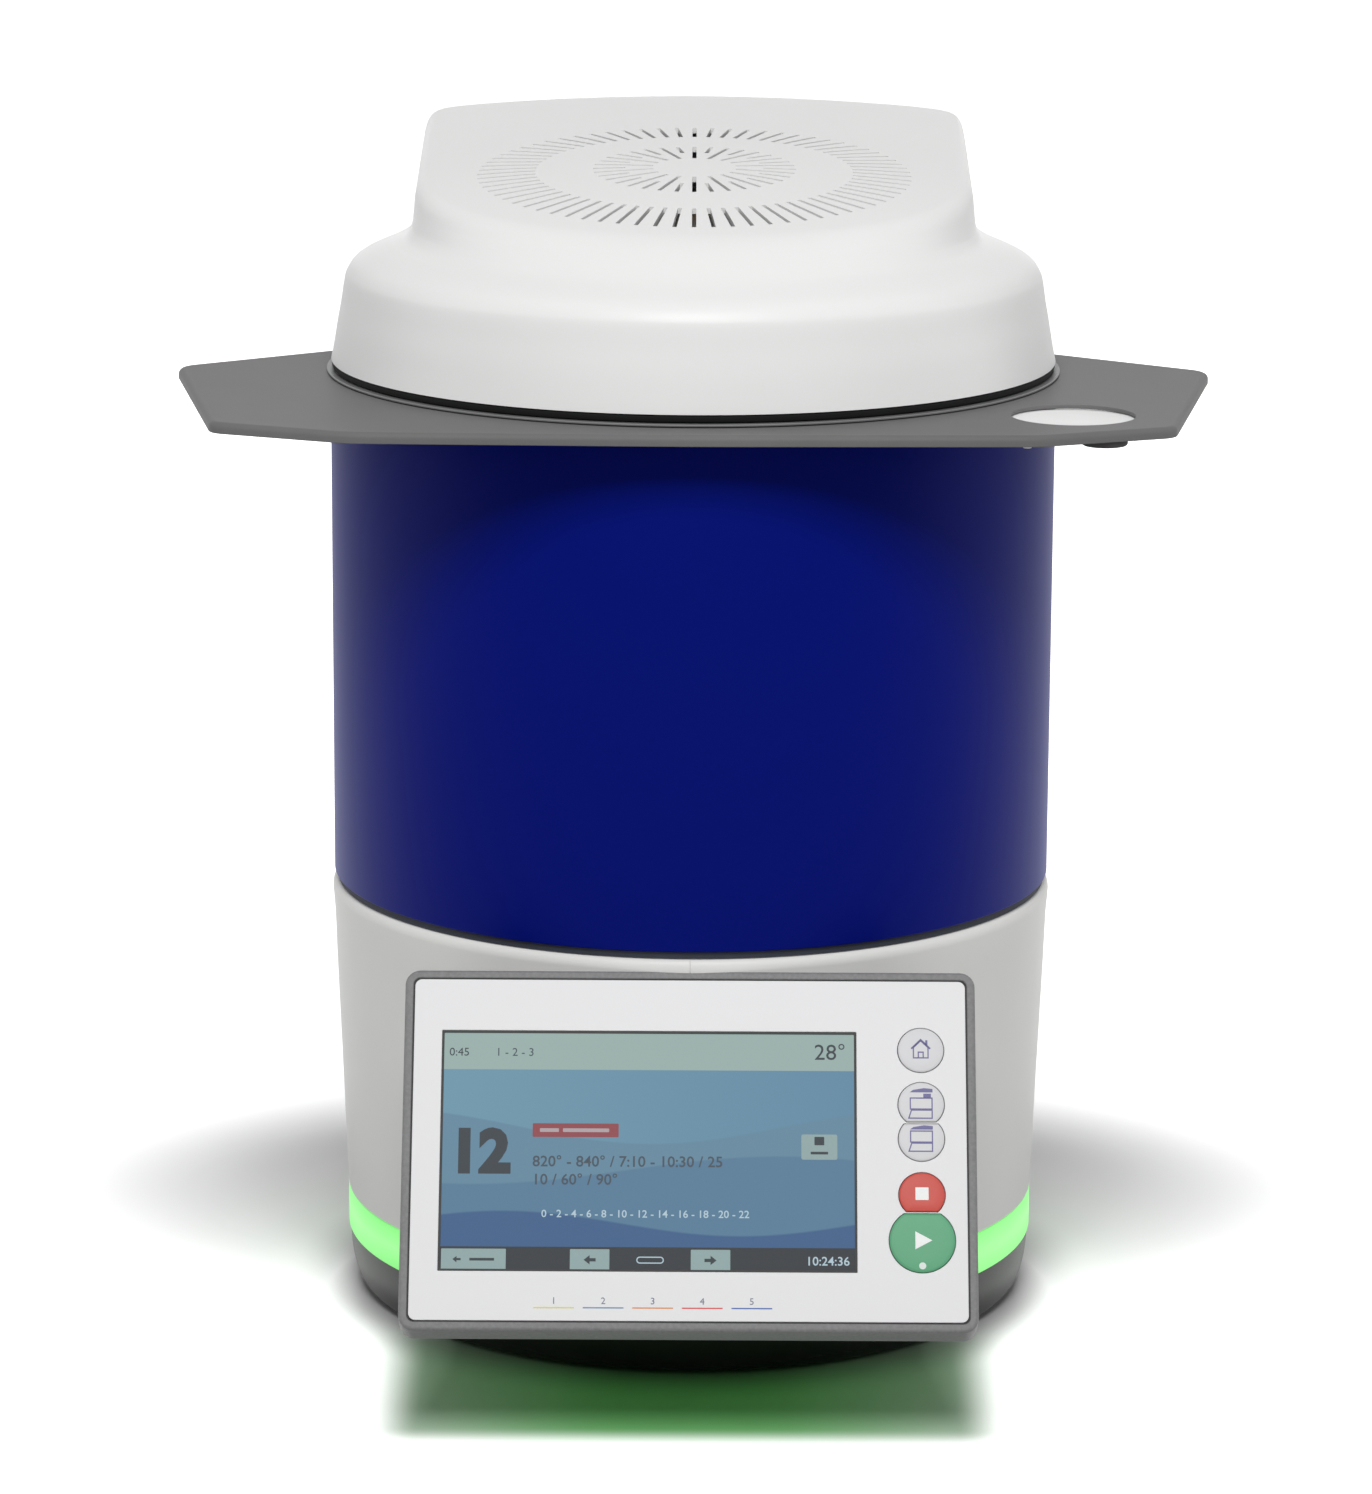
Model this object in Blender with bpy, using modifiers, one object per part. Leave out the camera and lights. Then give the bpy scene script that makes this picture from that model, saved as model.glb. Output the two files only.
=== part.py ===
# Dental lab furnace: a round body on a lit ring, a slanted operating panel, a cooling tray
# and a firing head that rises straight up on two guide rods.
# Metres, +Z up, front towards -Y. The root empty puts the middle of the footprint at the origin,
# and inside it the firing chamber's axis is X = 0, Y = 0.

import bpy
import bmesh
import math
from mathutils import Matrix

# Clearances and cuts
gap = 0.0003
overrun = 0.0030
round_steps = 60
keyhole_steps = 48
middle_steps = 36
small_steps = 16
knob_steps = 12
key_steps = 28
merge_distance = 0.00001

# Heights of the body, from the table up
foot_height = 0.0015
ring_low = 0.0233
ring_top = 0.0400
housing_top = 0.1650
casing_low = 0.1680
casing_top = 0.3632
tray_sheet = 0.0015
deck_lip = 0.0010
gasket_height = 0.0027

# Radii of the body, each a step from the casing's
body_r = 0.1401
casing_wall = 0.0016
casing_flange = 0.0145
spigot_height = 0.0080
deck_overhang = 0.0014
deck_r = body_r + deck_overhang
housing_swell = 0.0007
housing_top_r = body_r + housing_swell
housing_wall = 0.0030
housing_edge = 0.0045
ring_step = 0.0045
ring_r = body_r - ring_step
ring_wall = 0.0042
pan_rim_step = 0.0007
pan_rim_r = ring_r - pan_rim_step
pan_curve = 0.0063
pan_foot_r = pan_rim_r - pan_curve
pan_floor = 0.0025
pan_rim_land = 0.0083

# Rear housing
rear_half_w = 0.1100
rear_y = 0.1900
rear_front_y = 0.0700
rear_corner = 0.0180
rear_wall = 0.0020

# Cooling tray outline: rear end, tip, side corner, front bend and front middle, set from the deck's edge
tray_lap = 0.0101
tray_cutout_r = body_r - tray_lap
tray_end_turn = math.radians(28.9)
tray_end = (tray_cutout_r * math.cos(tray_end_turn), tray_cutout_r * math.sin(tray_end_turn))
tray_tip_out = 0.0584
tray_tip_y = -0.0005
tray_tip = (deck_r + tray_tip_out, tray_tip_y)
tray_corner_out = 0.0348
tray_corner_back = 0.0082
tray_corner = (deck_r + tray_corner_out, tray_corner_back - deck_r)
tray_bend_in = 0.0165
tray_bend_out = 0.0133
tray_bend = (deck_r - tray_bend_in, -deck_r - tray_bend_out)
tray_front_out = 0.0167
tray_front_y = -deck_r - tray_front_out
tray_tip_r = 0.0120
tray_corner_r = 0.0090
tray_bend_r = 0.0300
tray_front_r = 0.9000
tray_edge = 0.0041
tray_hole_r = 0.0230
tray_hole_in = 0.0013
tray_hole_back = 0.0343
tray_hole = (deck_r - tray_hole_in, tray_hole_back - deck_r)

# Operating panel: slab centre in front of and above the chamber axis, and its tilt from upright
panel_stand = 0.0377
panel_reach = body_r + panel_stand
panel_height = 0.1035
panel_tilt = math.radians(33)
slab_w = 0.2110
slab_h = 0.1373
slab_t = 0.0140
slab_corner = 0.0056
slab_rim = 0.0031
film_t = 0.0016
film_corner = 0.0030
display_left = 0.0140
display_right = 0.0440
display_above = 0.02335
display_below = 0.02215
display_w = slab_w - display_left - display_right
display_h = slab_h - display_above - display_below
display_t = 0.0060
display_at = ((display_left - display_right) / 2, (display_below - display_above) / 2)
key_inset = 0.0203
key_x = slab_w / 2 - key_inset
key_rise = 0.0004
key_depth = 0.0022

# Head
head_step = 0.0003
head_rim_r = body_r - head_step
skirt_draft = 0.0052
skirt_top_r = head_rim_r - skirt_draft
skirt_height = 0.0304
shoulder_rise = 0.0200
block_half_w = 0.1084
block_splay = 0.0200
block_draft = 0.1200
head_rim_half_w = 0.1112
head_rear_y = 0.1920
head_wall = 0.0022
head_edge = 0.0060
head_corner_power = 14
corner_turn_step = math.radians(2.6)
kink_blend = 0.0300
crown_z = 0.4429
crown_slope = 0.1001
crown_r = 1.0430
rear_lift_r = 1.1090
shoulder_shares = ((0.05, 0.20), (0.17, 0.40), (0.44, 0.59), (0.72, 0.70), (0.87, 0.79), (1.00, 1.00))
skirt_shares = (-0.1, 1.0)
wall_shares = (1.0,)
edge_shares = (0.5, 1.0)

# Vent slots in the head's top
vent_w = 0.0016
outer_vents = 72
outer_vent_in = 0.0610
outer_vent_out = 0.0835
inner_vents = 36
inner_vent_in = 0.0160
inner_vent_mid = 0.0265
inner_vent_out = 0.0390
vent_space = 0.0040
crown_rings = (outer_vent_out + vent_space, (outer_vent_in + inner_vent_out) / 2,
               inner_vent_in - vent_space)

# Firing chamber
chamber_r = 0.0480
muffle_tube_wall = 0.0020
muffle_r = 0.0860
chamber_h = 0.0401
chamber_roof = 0.0117
mouth_r = 0.0520
table_r = 0.0440
table_t = 0.0060

# Lift
lift_y = 0.1380
rod_r = 0.0080
rod_x = 0.0550
spindle_r = 0.0060
column_half_w = 0.0800
column_half_d = 0.0340
column_corner = 0.0080
column_wall = 0.0020
column_low = 0.2850
upper_guide_z = 0.2620
lower_guide_z = 0.1950
guide_plate_t = 0.0080
crosshead_z = 0.0900
crosshead_t = 0.0120
motor_w = 0.0570
motor_h = 0.0500

# Places worked out from the sizes above
pan_low = foot_height
pan_floor_z = pan_low + pan_floor
pan_rim_z = ring_low - gap
housing_low = ring_top + gap
tray_low_z = casing_top + gap
tray_top = tray_low_z + tray_sheet
deck_low = casing_top + gap
deck_lip_z = tray_top + gap
deck_top = deck_lip_z + deck_lip
gasket_low = deck_top + gap
head_rim_z = gasket_low + gasket_height + gap
skirt_top_z = head_rim_z + skirt_height
block_base_z = skirt_top_z + shoulder_rise
spigot_r = body_r - casing_wall - gap
hose_reach = 0.0220
front_reach = panel_reach + slab_h / 2 * math.sin(panel_tilt)
rear_reach = rear_y + hose_reach


def clear_scene():
    for old in list(bpy.data.objects):
        bpy.data.objects.remove(old)


clear_scene()
parts = bpy.data.collections.new("dental_lab_furnace")
cutters = bpy.data.collections.new("cutters")
bpy.context.scene.collection.children.link(parts)
bpy.context.scene.collection.children.link(cutters)


def empty(name, parent=None, at=(0, 0, 0), turn=(0, 0, 0)):
    guide = bpy.data.objects.new(name, None)
    parts.objects.link(guide)
    guide.parent = parent
    guide.location = at
    guide.rotation_euler = turn
    return guide


stand = empty("stand_centre", at=(0, (front_reach - rear_reach) / 2, 0))
head_axis = empty("head_axis", stand)
panel = empty("panel_plane", stand, (0, -panel_reach, panel_height), (math.pi / 2 - panel_tilt, 0, 0))


def finish(name, colour, roughness, metallic=0.0, glow=None):
    material = bpy.data.materials.new(name)
    material.use_nodes = True
    shader = material.node_tree.nodes["Principled BSDF"]
    shader.inputs["Base Color"].default_value = (*colour, 1.0)
    shader.inputs["Roughness"].default_value = roughness
    shader.inputs["Metallic"].default_value = metallic
    if glow:
        shader.inputs["Emission Color"].default_value = (*glow, 1.0)
        shader.inputs["Emission Strength"].default_value = 1.0
    return material


def add(name, mesh, look, parent=stand, at=(0, 0, 0), turn=(0, 0, 0)):
    piece = bpy.data.objects.new(name, mesh)
    if look:
        parts.objects.link(piece)
        mesh.materials.append(look)
    else:
        cutters.objects.link(piece)
        piece.hide_render = True
        piece.display_type = "WIRE"
    piece.parent = parent
    piece.location = at
    piece.rotation_euler = turn
    return piece


def box(name, low, high, look=None, parent=stand):
    size = [b - a for a, b in zip(low, high)]
    middle = [(a + b) / 2 for a, b in zip(low, high)]
    mesh = bpy.data.meshes.new(name)
    cube = bmesh.new()
    bmesh.ops.create_cube(cube, size=1)
    bmesh.ops.scale(cube, vec=size, verts=cube.verts)
    cube.to_mesh(mesh)
    cube.free()
    return add(name, mesh, look, parent, middle)


def rod(name, radius, low, high, at=(0, 0), look=None, parent=stand, steps=small_steps, turn=(0, 0, 0)):
    mesh = bpy.data.meshes.new(name)
    shape = bmesh.new()
    bmesh.ops.create_cone(shape, cap_ends=True, segments=steps, radius1=radius, radius2=radius,
                          depth=high - low)
    bmesh.ops.translate(shape, vec=(0, 0, (low + high) / 2), verts=shape.verts)
    shape.to_mesh(mesh)
    shape.free()
    smooth(mesh)
    place = (at[0], at[1], 0) if len(at) == 2 else at
    return add(name, mesh, look, parent, place, turn)


def smooth(mesh):
    mesh.shade_smooth()
    mesh.set_sharp_from_angle(angle=math.radians(35))


def turned(name, profile, look=None, ring=True, parent=stand, at=(0, 0, 0), turn=(0, 0, 0),
           steps=round_steps):
    # The profile lies at +X and runs down its outer side. A ring's profile is a closed loop.
    mesh = bpy.data.meshes.new(name)
    edges = [(i, i + 1) for i in range(len(profile) - 1)]
    if ring:
        edges.append((len(profile) - 1, 0))
    mesh.from_pydata([(r, 0, z) for r, z in profile], edges, [])
    piece = add(name, mesh, look, parent, at, turn)
    screw = piece.modifiers.new("turn", "SCREW")
    screw.axis = "Z"
    screw.angle = math.tau
    screw.steps = steps
    screw.render_steps = steps
    screw.use_merge_vertices = True
    screw.merge_threshold = merge_distance
    return piece


def ring_profile(inner, outer, low, high):
    return [(outer, high), (outer, low), (inner, low), (inner, high)]


def circle(radius, centre=(0, 0), steps=round_steps):
    turns = [math.tau * i / steps for i in range(steps)]
    return [(centre[0] + radius * math.cos(a), centre[1] + radius * math.sin(a)) for a in turns]


def rectangle(half_w, half_h, centre=(0, 0), corner=0.0, steps=4):
    corners = [(half_w, half_h), (-half_w, half_h), (-half_w, -half_h), (half_w, -half_h)]
    return rounded([(x + centre[0], y + centre[1], corner) for x, y in corners], steps)


def rounded(corners, steps=4):
    # Each corner is (x, y, radius). The two edges that meet there are joined by an arc.
    points = []
    for i, (x, y, radius) in enumerate(corners):
        if radius == 0:
            points.append((x, y))
            continue
        before = corners[i - 1]
        after = corners[(i + 1) % len(corners)]
        back = math.atan2(before[1] - y, before[0] - x)
        ahead = math.atan2(after[1] - y, after[0] - x)
        half = ((ahead - back + math.pi) % math.tau - math.pi) / 2
        middle = back + half
        reach = radius / abs(math.sin(half))
        centre_x = x + reach * math.cos(middle)
        centre_y = y + reach * math.sin(middle)
        sweep = math.pi - 2 * abs(half)
        side = 1 if half < 0 else -1
        for k in range(steps + 1):
            turn = middle + math.pi + side * sweep * (k / steps - 0.5)
            points.append((centre_x + radius * math.cos(turn), centre_y + radius * math.sin(turn)))
    return points


def inset(points, distance):
    # The outline moved inwards by a distance, with mitred corners. Points run anticlockwise.
    moved = []
    for i, (x, y) in enumerate(points):
        before = points[i - 1]
        after = points[(i + 1) % len(points)]
        in_x, in_y = x - before[0], y - before[1]
        out_x, out_y = after[0] - x, after[1] - y
        in_len, out_len = math.hypot(in_x, in_y), math.hypot(out_x, out_y)
        n1 = (-in_y / in_len, in_x / in_len)
        n2 = (-out_y / out_len, out_x / out_len)
        scale = distance / (1 + n1[0] * n2[0] + n1[1] * n2[1])
        moved.append((x + (n1[0] + n2[0]) * scale, y + (n1[1] + n2[1]) * scale))
    return moved


def plate(name, outlines, low, high, look=None, parent=stand, at=(0, 0, 0), turn=(0, 0, 0)):
    # A flat outline with its holes, as a filled 2D curve, made a mesh so that it can be cut.
    curve = bpy.data.curves.new(name, "CURVE")
    curve.dimensions = "2D"
    curve.fill_mode = "BOTH"
    curve.extrude = (high - low) / 2
    for outline in outlines:
        spline = curve.splines.new("POLY")
        spline.points.add(len(outline) - 1)
        for point, (x, y) in zip(spline.points, outline):
            point.co = (x, y, 0, 1)
        spline.use_cyclic_u = True
    drawn = bpy.data.objects.new(name + "_outline", curve)
    cutters.objects.link(drawn)
    bpy.context.view_layer.update()
    seen = drawn.evaluated_get(bpy.context.evaluated_depsgraph_get())
    mesh = bpy.data.meshes.new_from_object(seen)
    bpy.data.objects.remove(drawn)
    bpy.data.curves.remove(curve)
    weld = bmesh.new()
    weld.from_mesh(mesh)
    bmesh.ops.remove_doubles(weld, verts=weld.verts, dist=merge_distance)
    bmesh.ops.translate(weld, vec=(0, 0, (low + high) / 2), verts=weld.verts)
    weld.to_mesh(mesh)
    weld.free()
    mesh.name = name
    smooth(mesh)
    return add(name, mesh, look, parent, at, turn)


def cut(piece, *tools):
    for tool in tools:
        step = piece.modifiers.new("cut_" + tool.name, "BOOLEAN")
        step.operation = "DIFFERENCE"
        step.object = tool
        step.solver = "EXACT"
    return piece


def join(piece, *tools):
    for tool in tools:
        step = piece.modifiers.new("join_" + tool.name, "BOOLEAN")
        step.operation = "UNION"
        step.object = tool
        step.solver = "EXACT"
    return piece


def keyhole(radius, half_w, back_y, corner):
    # Plan of the round body with its rear housing: an arc round the front, then straight back.
    start = math.atan2(math.sqrt(radius ** 2 - half_w ** 2), half_w)
    sweep = math.pi + 2 * start
    arc = []
    for i in range(keyhole_steps + 1):
        turn = math.pi - start + sweep * i / keyhole_steps
        arc.append((radius * math.cos(turn), radius * math.sin(turn)))
    back = rounded([(half_w, 0, 0), (half_w, back_y, corner), (-half_w, back_y, corner), (-half_w, 0, 0)])
    return arc + back[1:-1]


# Cutter for the rear opening of every round shell
rear_opening = box("rear_opening", (-rear_half_w - gap, rear_front_y - overrun, -overrun),
                   (rear_half_w + gap, body_r + overrun, deck_lip_z))

# Base pan and feet
pan_black = finish("pan_black", (0.03, 0.03, 0.03), 0.5)
foot_rubber = finish("foot_rubber", (0.02, 0.02, 0.02), 0.8)
pan_arc_steps = 4
pan_arc = []
for i in range(pan_arc_steps + 1):
    swing = math.pi / 2 * (1 - i / pan_arc_steps)
    pan_arc.append((pan_foot_r + (pan_rim_r - pan_foot_r) * math.sin(swing),
                    pan_low + (pan_rim_z - pan_low) * (1 - math.cos(swing))))
base_pan = turned("base_pan", [(0, pan_rim_z)] + pan_arc + [(0, pan_low)], pan_black, ring=False)
rear_plan = rounded([(rear_half_w, rear_front_y, 0), (rear_half_w, rear_y, rear_corner),
                     (-rear_half_w, rear_y, rear_corner), (-rear_half_w, rear_front_y, 0)])
pan_bay = plate("pan_bay", [rear_plan], pan_low, ring_top)
pan_hollow = rod("pan_hollow", pan_rim_r - pan_rim_land, pan_floor_z, ring_top + overrun,
                 steps=round_steps)
bay_plan = rounded([(rear_half_w - rear_wall, 0, 0), (rear_half_w - rear_wall, rear_y - rear_wall,
                    rear_corner - rear_wall), (-rear_half_w + rear_wall, rear_y - rear_wall,
                    rear_corner - rear_wall), (-rear_half_w + rear_wall, 0, 0)])
bay_hollow = plate("bay_hollow", [bay_plan], pan_floor_z, ring_top + overrun)
join(base_pan, pan_bay)
cut(base_pan, pan_hollow, bay_hollow)

foot_r = 0.0100
foot_x = 0.0850
foot_front_y = -0.0750
foot_rear_y = 0.1500
for side, x in (("left", -foot_x), ("right", foot_x)):
    for place, y in (("front", foot_front_y), ("rear", foot_rear_y)):
        rod(f"foot_{place}_{side}", foot_r, 0, foot_height - gap, (x, y), foot_rubber)

# Light ring and the strip of lamps behind it
ring_green = finish("ring_green", (0.35, 1.0, 0.30), 0.4, glow=(0.30, 1.0, 0.22))
strip_board = finish("strip_board", (0.85, 0.9, 0.85), 0.5)
light_ring = turned("light_ring", ring_profile(ring_r - ring_wall, ring_r, ring_low, ring_top),
                    ring_green)
cut(light_ring, rear_opening)
strip_t = 0.0014
strip_out = ring_r - ring_wall - gap
light_strip = turned("light_strip", ring_profile(strip_out - strip_t, strip_out, ring_low, ring_top),
                     strip_board)
cut(light_strip, rear_opening)

# Lower housing: tapered shell with a rounded top edge and a spigot that centres the casing
housing_grey = finish("housing_grey", (0.58, 0.58, 0.56), 0.4)
edge_steps = 3
edge_arc = []
for i in range(edge_steps + 1):
    swing = math.pi / 2 * (1 - i / edge_steps)
    edge_arc.append((spigot_r + (housing_top_r - spigot_r) * math.cos(swing),
                     housing_top - housing_edge + housing_edge * math.sin(swing)))
housing_profile = [(spigot_r, casing_low + spigot_height)] + edge_arc
housing_profile += [(ring_r, housing_low), (ring_r - housing_wall, housing_low),
                    (spigot_r - housing_wall, housing_top - housing_edge),
                    (spigot_r - housing_wall, casing_low + spigot_height)]
lower_housing = turned("lower_housing", housing_profile, housing_grey)
slab_room = rectangle(slab_w / 2 + gap, slab_h / 2 + gap, corner=slab_corner + gap)
slab_pocket = plate("slab_pocket", [slab_room], -slab_t - gap, overrun, parent=panel)
cable_hole_r = 0.0150
cable_hole_z = 0.0850
housing_port = rod("housing_port", cable_hole_r, 0, ring_r + overrun, (0, 0, cable_hole_z),
                   turn=(math.pi / 2, 0, 0))
cut(lower_housing, rear_opening, slab_pocket, housing_port)

# Blue casing with a flange at its top that carries the tray and the deck
casing_blue = finish("casing_blue", (0.005, 0.02, 0.18), 0.25, 0.3)
casing_in = body_r - casing_wall
flange_in = casing_in - casing_flange
casing = turned("body_casing", [(body_r, casing_top), (body_r, casing_low), (casing_in, casing_low),
                (casing_in, casing_top - casing_wall), (flange_in, casing_top - casing_wall),
                (flange_in, casing_top)], casing_blue)
cut(casing, rear_opening)

# Cooling tray: sheet with a turned-down edge, open at the back, with one round hole
tray_grey = finish("tray_grey", (0.20, 0.20, 0.20), 0.5, 0.2)
tray_half = [(*tray_end, 0), (*tray_tip, tray_tip_r), (*tray_corner, tray_corner_r),
             (*tray_bend, tray_bend_r)]
tray_left = [(-x, y, r) for x, y, r in tray_half]
tray_plan = rounded(tray_left + [(0, tray_front_y, tray_front_r)] + tray_half[::-1])
tray = plate("cooling_tray", [tray_plan], tray_top - tray_edge, tray_top, tray_grey)
under_tray = tray_top - tray_edge - overrun
over_tray = tray_top + overrun
tray_under = plate("tray_under", [inset(tray_plan, tray_sheet)], under_tray, tray_low_z)
tray_seat = rod("tray_seat", body_r + gap, under_tray, tray_low_z, steps=round_steps)
tray_cutout = rod("tray_cutout", tray_cutout_r, under_tray, over_tray, steps=round_steps)
tray_hole_cutter = rod("tray_hole", tray_hole_r, under_tray, over_tray, tray_hole, steps=middle_steps)
cut(tray, tray_under, tray_seat, tray_cutout, tray_hole_cutter)

# Top deck: hub inside the tray's cut-out, thin lip over the tray, rear plate with the column's opening
deck_grey = finish("deck_grey", (0.25, 0.25, 0.25), 0.45, 0.3)
cup_r = 0.0640
column_slide = 0.0010
column_hole = rectangle(column_half_w + column_slide, column_half_d + column_slide, (0, lift_y),
                        column_corner + column_slide)
deck_plan = keyhole(deck_r, rear_half_w, rear_y, rear_corner)
deck = plate("top_deck", [deck_plan, circle(cup_r + gap, steps=middle_steps), column_hole], deck_low,
             deck_top, deck_grey)
under_deck = deck_low - overrun
lip_recess = turned("lip_recess", ring_profile(tray_cutout_r - gap, deck_r + overrun, under_deck,
                    deck_lip_z))
keep_rear = box("keep_rear", (-rear_half_w, rear_front_y, under_deck - overrun),
                (rear_half_w, rear_y, deck_top))
cut(lip_recess, keep_rear)
cut(deck, lip_recess)

# Insulation cup, plug and firing table under the chamber, and the chamber seal on the deck
cup_steel = finish("cup_steel", (0.6, 0.6, 0.6), 0.3, 1.0)
plug_white = finish("plug_white", (0.85, 0.83, 0.78), 0.9)
table_white = finish("table_white", (0.75, 0.72, 0.66), 0.7)
seal_black = finish("seal_black", (0.02, 0.02, 0.02), 0.6)
cup_wall = 0.0015
cup_depth = 0.0420
cup_flange = 0.0080
cup_low = deck_top - cup_depth
cup_in = cup_r - cup_wall
cup_top = gasket_low + deck_lip
flange_r = cup_r + cup_flange
turned("insulation_cup", [(0, cup_low + cup_wall), (cup_in, cup_low + cup_wall), (cup_in, cup_top),
       (flange_r, cup_top), (flange_r, gasket_low), (cup_r, gasket_low), (cup_r, cup_low), (0, cup_low)],
       cup_steel, ring=False, steps=middle_steps)
plug_r = cup_in - gap
rod("lower_insulation", plug_r, cup_low + cup_wall + gap, gasket_low, look=plug_white, steps=middle_steps)
table_low = gasket_low + gap
rod("firing_table", table_r, table_low, table_low + table_t, look=table_white, steps=middle_steps)
seal_in = 0.0950
seal_w = 0.0040
turned("chamber_seal", ring_profile(seal_in, seal_in + seal_w, gasket_low, head_rim_z - gap), seal_black,
       steps=middle_steps)

# Rear housing, rear panel and what is fitted to it
rear_grey = finish("rear_grey", (0.55, 0.55, 0.54), 0.45)
panel_steel = finish("panel_steel", (0.45, 0.45, 0.46), 0.4, 0.6)
socket_black = finish("socket_black", (0.03, 0.03, 0.03), 0.45)
inner_corner = rear_corner - rear_wall
inner_w = rear_half_w - rear_wall
inner_y = rear_y - rear_wall
cover_plan = rounded([(rear_half_w, rear_front_y, 0), (rear_half_w, rear_y, rear_corner),
                      (-rear_half_w, rear_y, rear_corner), (-rear_half_w, rear_front_y, 0),
                      (-inner_w, rear_front_y, 0), (-inner_w, inner_y, inner_corner),
                      (inner_w, inner_y, inner_corner), (inner_w, rear_front_y, 0)])
rear_housing = plate("rear_housing", [cover_plan], housing_low, casing_top, rear_grey)
window_half_w = 0.0830
window_low = 0.0600
window_high = 0.2500
rear_window = box("rear_window", (-window_half_w, inner_y - overrun, window_low),
                  (window_half_w, rear_y + overrun, window_high))
cut(rear_housing, rear_window)

panel_lap = 0.0060
panel_t = 0.0015
panel_back = inner_y - gap
panel_front = panel_back - panel_t
rear_panel = box("rear_panel", (-window_half_w - panel_lap, panel_front, window_low - panel_lap),
                 (window_half_w + panel_lap, panel_back, window_high + panel_lap), panel_steel)

fan_x = -0.0450
fan_z = 0.1050
fan_half = 0.0300
fan_depth = 0.0200
fan_bore = 0.0280
fan_hub = 0.0110
fan_blade_r = 0.0265
fan_hub_t = 0.0030
fan_strut = 0.0030
fan_blades = 7
fan_twist = math.radians(24)
blade_share = 0.45
facing_back = (-math.pi / 2, 0, 0)
fan_grey = finish("fan_grey", (0.05, 0.05, 0.05), 0.5)
guard_steel = finish("guard_steel", (0.7, 0.7, 0.7), 0.3, 1.0)
fan_at = (fan_x, panel_front - gap - fan_depth, fan_z)
panel_fan_hole = rod("panel_fan_hole", fan_bore - gap, 0, fan_depth * 2, fan_at, turn=facing_back)
fan_plan = [rectangle(fan_half, fan_half, corner=fan_half / 6), circle(fan_bore, steps=small_steps * 2)]
fan_frame = plate("fan_frame", fan_plan, 0, fan_depth, fan_grey, at=fan_at, turn=facing_back)
fan_mount = rod("fan_mount", fan_hub, 0, fan_hub_t, fan_at, turn=facing_back)
strut_a = box("strut_a", (fan_x - fan_bore - gap, fan_at[1], fan_z - fan_strut / 2),
              (fan_x + fan_bore + gap, fan_at[1] + fan_hub_t, fan_z + fan_strut / 2))
strut_b = box("strut_b", (fan_x - fan_strut / 2, fan_at[1], fan_z - fan_bore - gap),
              (fan_x + fan_strut / 2, fan_at[1] + fan_hub_t, fan_z + fan_bore + gap))
join(fan_frame, fan_mount, strut_a, strut_b)

blade_plan = []
blade_corners = ((0, fan_hub), (0, fan_blade_r), (blade_share, fan_blade_r), (blade_share, fan_hub))
for i in range(fan_blades):
    start = math.tau * i / fan_blades
    for share, radius in blade_corners:
        turn = start + math.tau / fan_blades * share
        blade_plan.append((radius * math.cos(turn), radius * math.sin(turn)))
rotor = plate("fan_rotor", [blade_plan], fan_hub_t + gap, fan_depth - fan_hub_t, fan_grey, at=fan_at,
              turn=facing_back)
for vertex in rotor.data.vertices:
    if vertex.co.z > fan_depth / 2:
        vertex.co = Matrix.Rotation(fan_twist, 3, "Z") @ vertex.co

guard_t = 0.0010
guard_r = 0.0310
guard_rows = 2
guard_bar_share = 0.16
guard_steps = 4
guard_row = (fan_bore - fan_hub) / guard_rows
slots = [circle(guard_r, steps=small_steps * 2)]
for row in range(guard_rows):
    row_in = fan_hub + guard_row * row
    row_out = row_in + guard_row * 0.7
    for quarter in range(4):
        start = math.pi / 2 * (quarter + guard_bar_share / 2)
        reach = math.pi / 2 * (1 - guard_bar_share)
        turns = [start + reach * k / guard_steps for k in range(guard_steps + 1)]
        slot = [(row_out * math.cos(a), row_out * math.sin(a)) for a in turns]
        slots.append(slot + [(row_in * math.cos(a), row_in * math.sin(a)) for a in turns[::-1]])
guard_at = (fan_x, panel_back + gap, fan_z)
plate("fan_guard", slots, 0, guard_t, guard_steel, at=guard_at, turn=facing_back)

inlet_at = (0.0400, 0.0900)
inlet_half = (0.0240, 0.0140)
inlet_body_half = (0.0150, 0.0115)
inlet_hole_half = (0.0120, 0.0080)
inlet_depth = 0.0200
inlet_recess = 0.0160
inlet_flange = 0.0030
inlet_y = panel_back + gap


def rear_box(name, centre, half, low_y, high_y, look=None, parent=stand):
    low = (centre[0] - half[0], low_y, centre[1] - half[1])
    return box(name, low, (centre[0] + half[0], high_y, centre[1] + half[1]), look, parent)


power_inlet = rear_box("power_inlet", inlet_at, inlet_half, inlet_y, inlet_y + inlet_flange, socket_black)
inlet_body = rear_box("inlet_body", inlet_at, inlet_body_half, inlet_y - inlet_depth,
                      inlet_y + inlet_flange / 2)
inlet_hole = rear_box("inlet_hole", inlet_at, inlet_hole_half, inlet_y + inlet_flange - inlet_recess,
                      inlet_y + inlet_flange + overrun)
join(power_inlet, inlet_body)
cut(power_inlet, inlet_hole)
inlet_window = rear_box("inlet_window", inlet_at, (inlet_body_half[0] + gap, inlet_body_half[1] + gap),
                        panel_front - overrun, panel_back + overrun)

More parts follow.
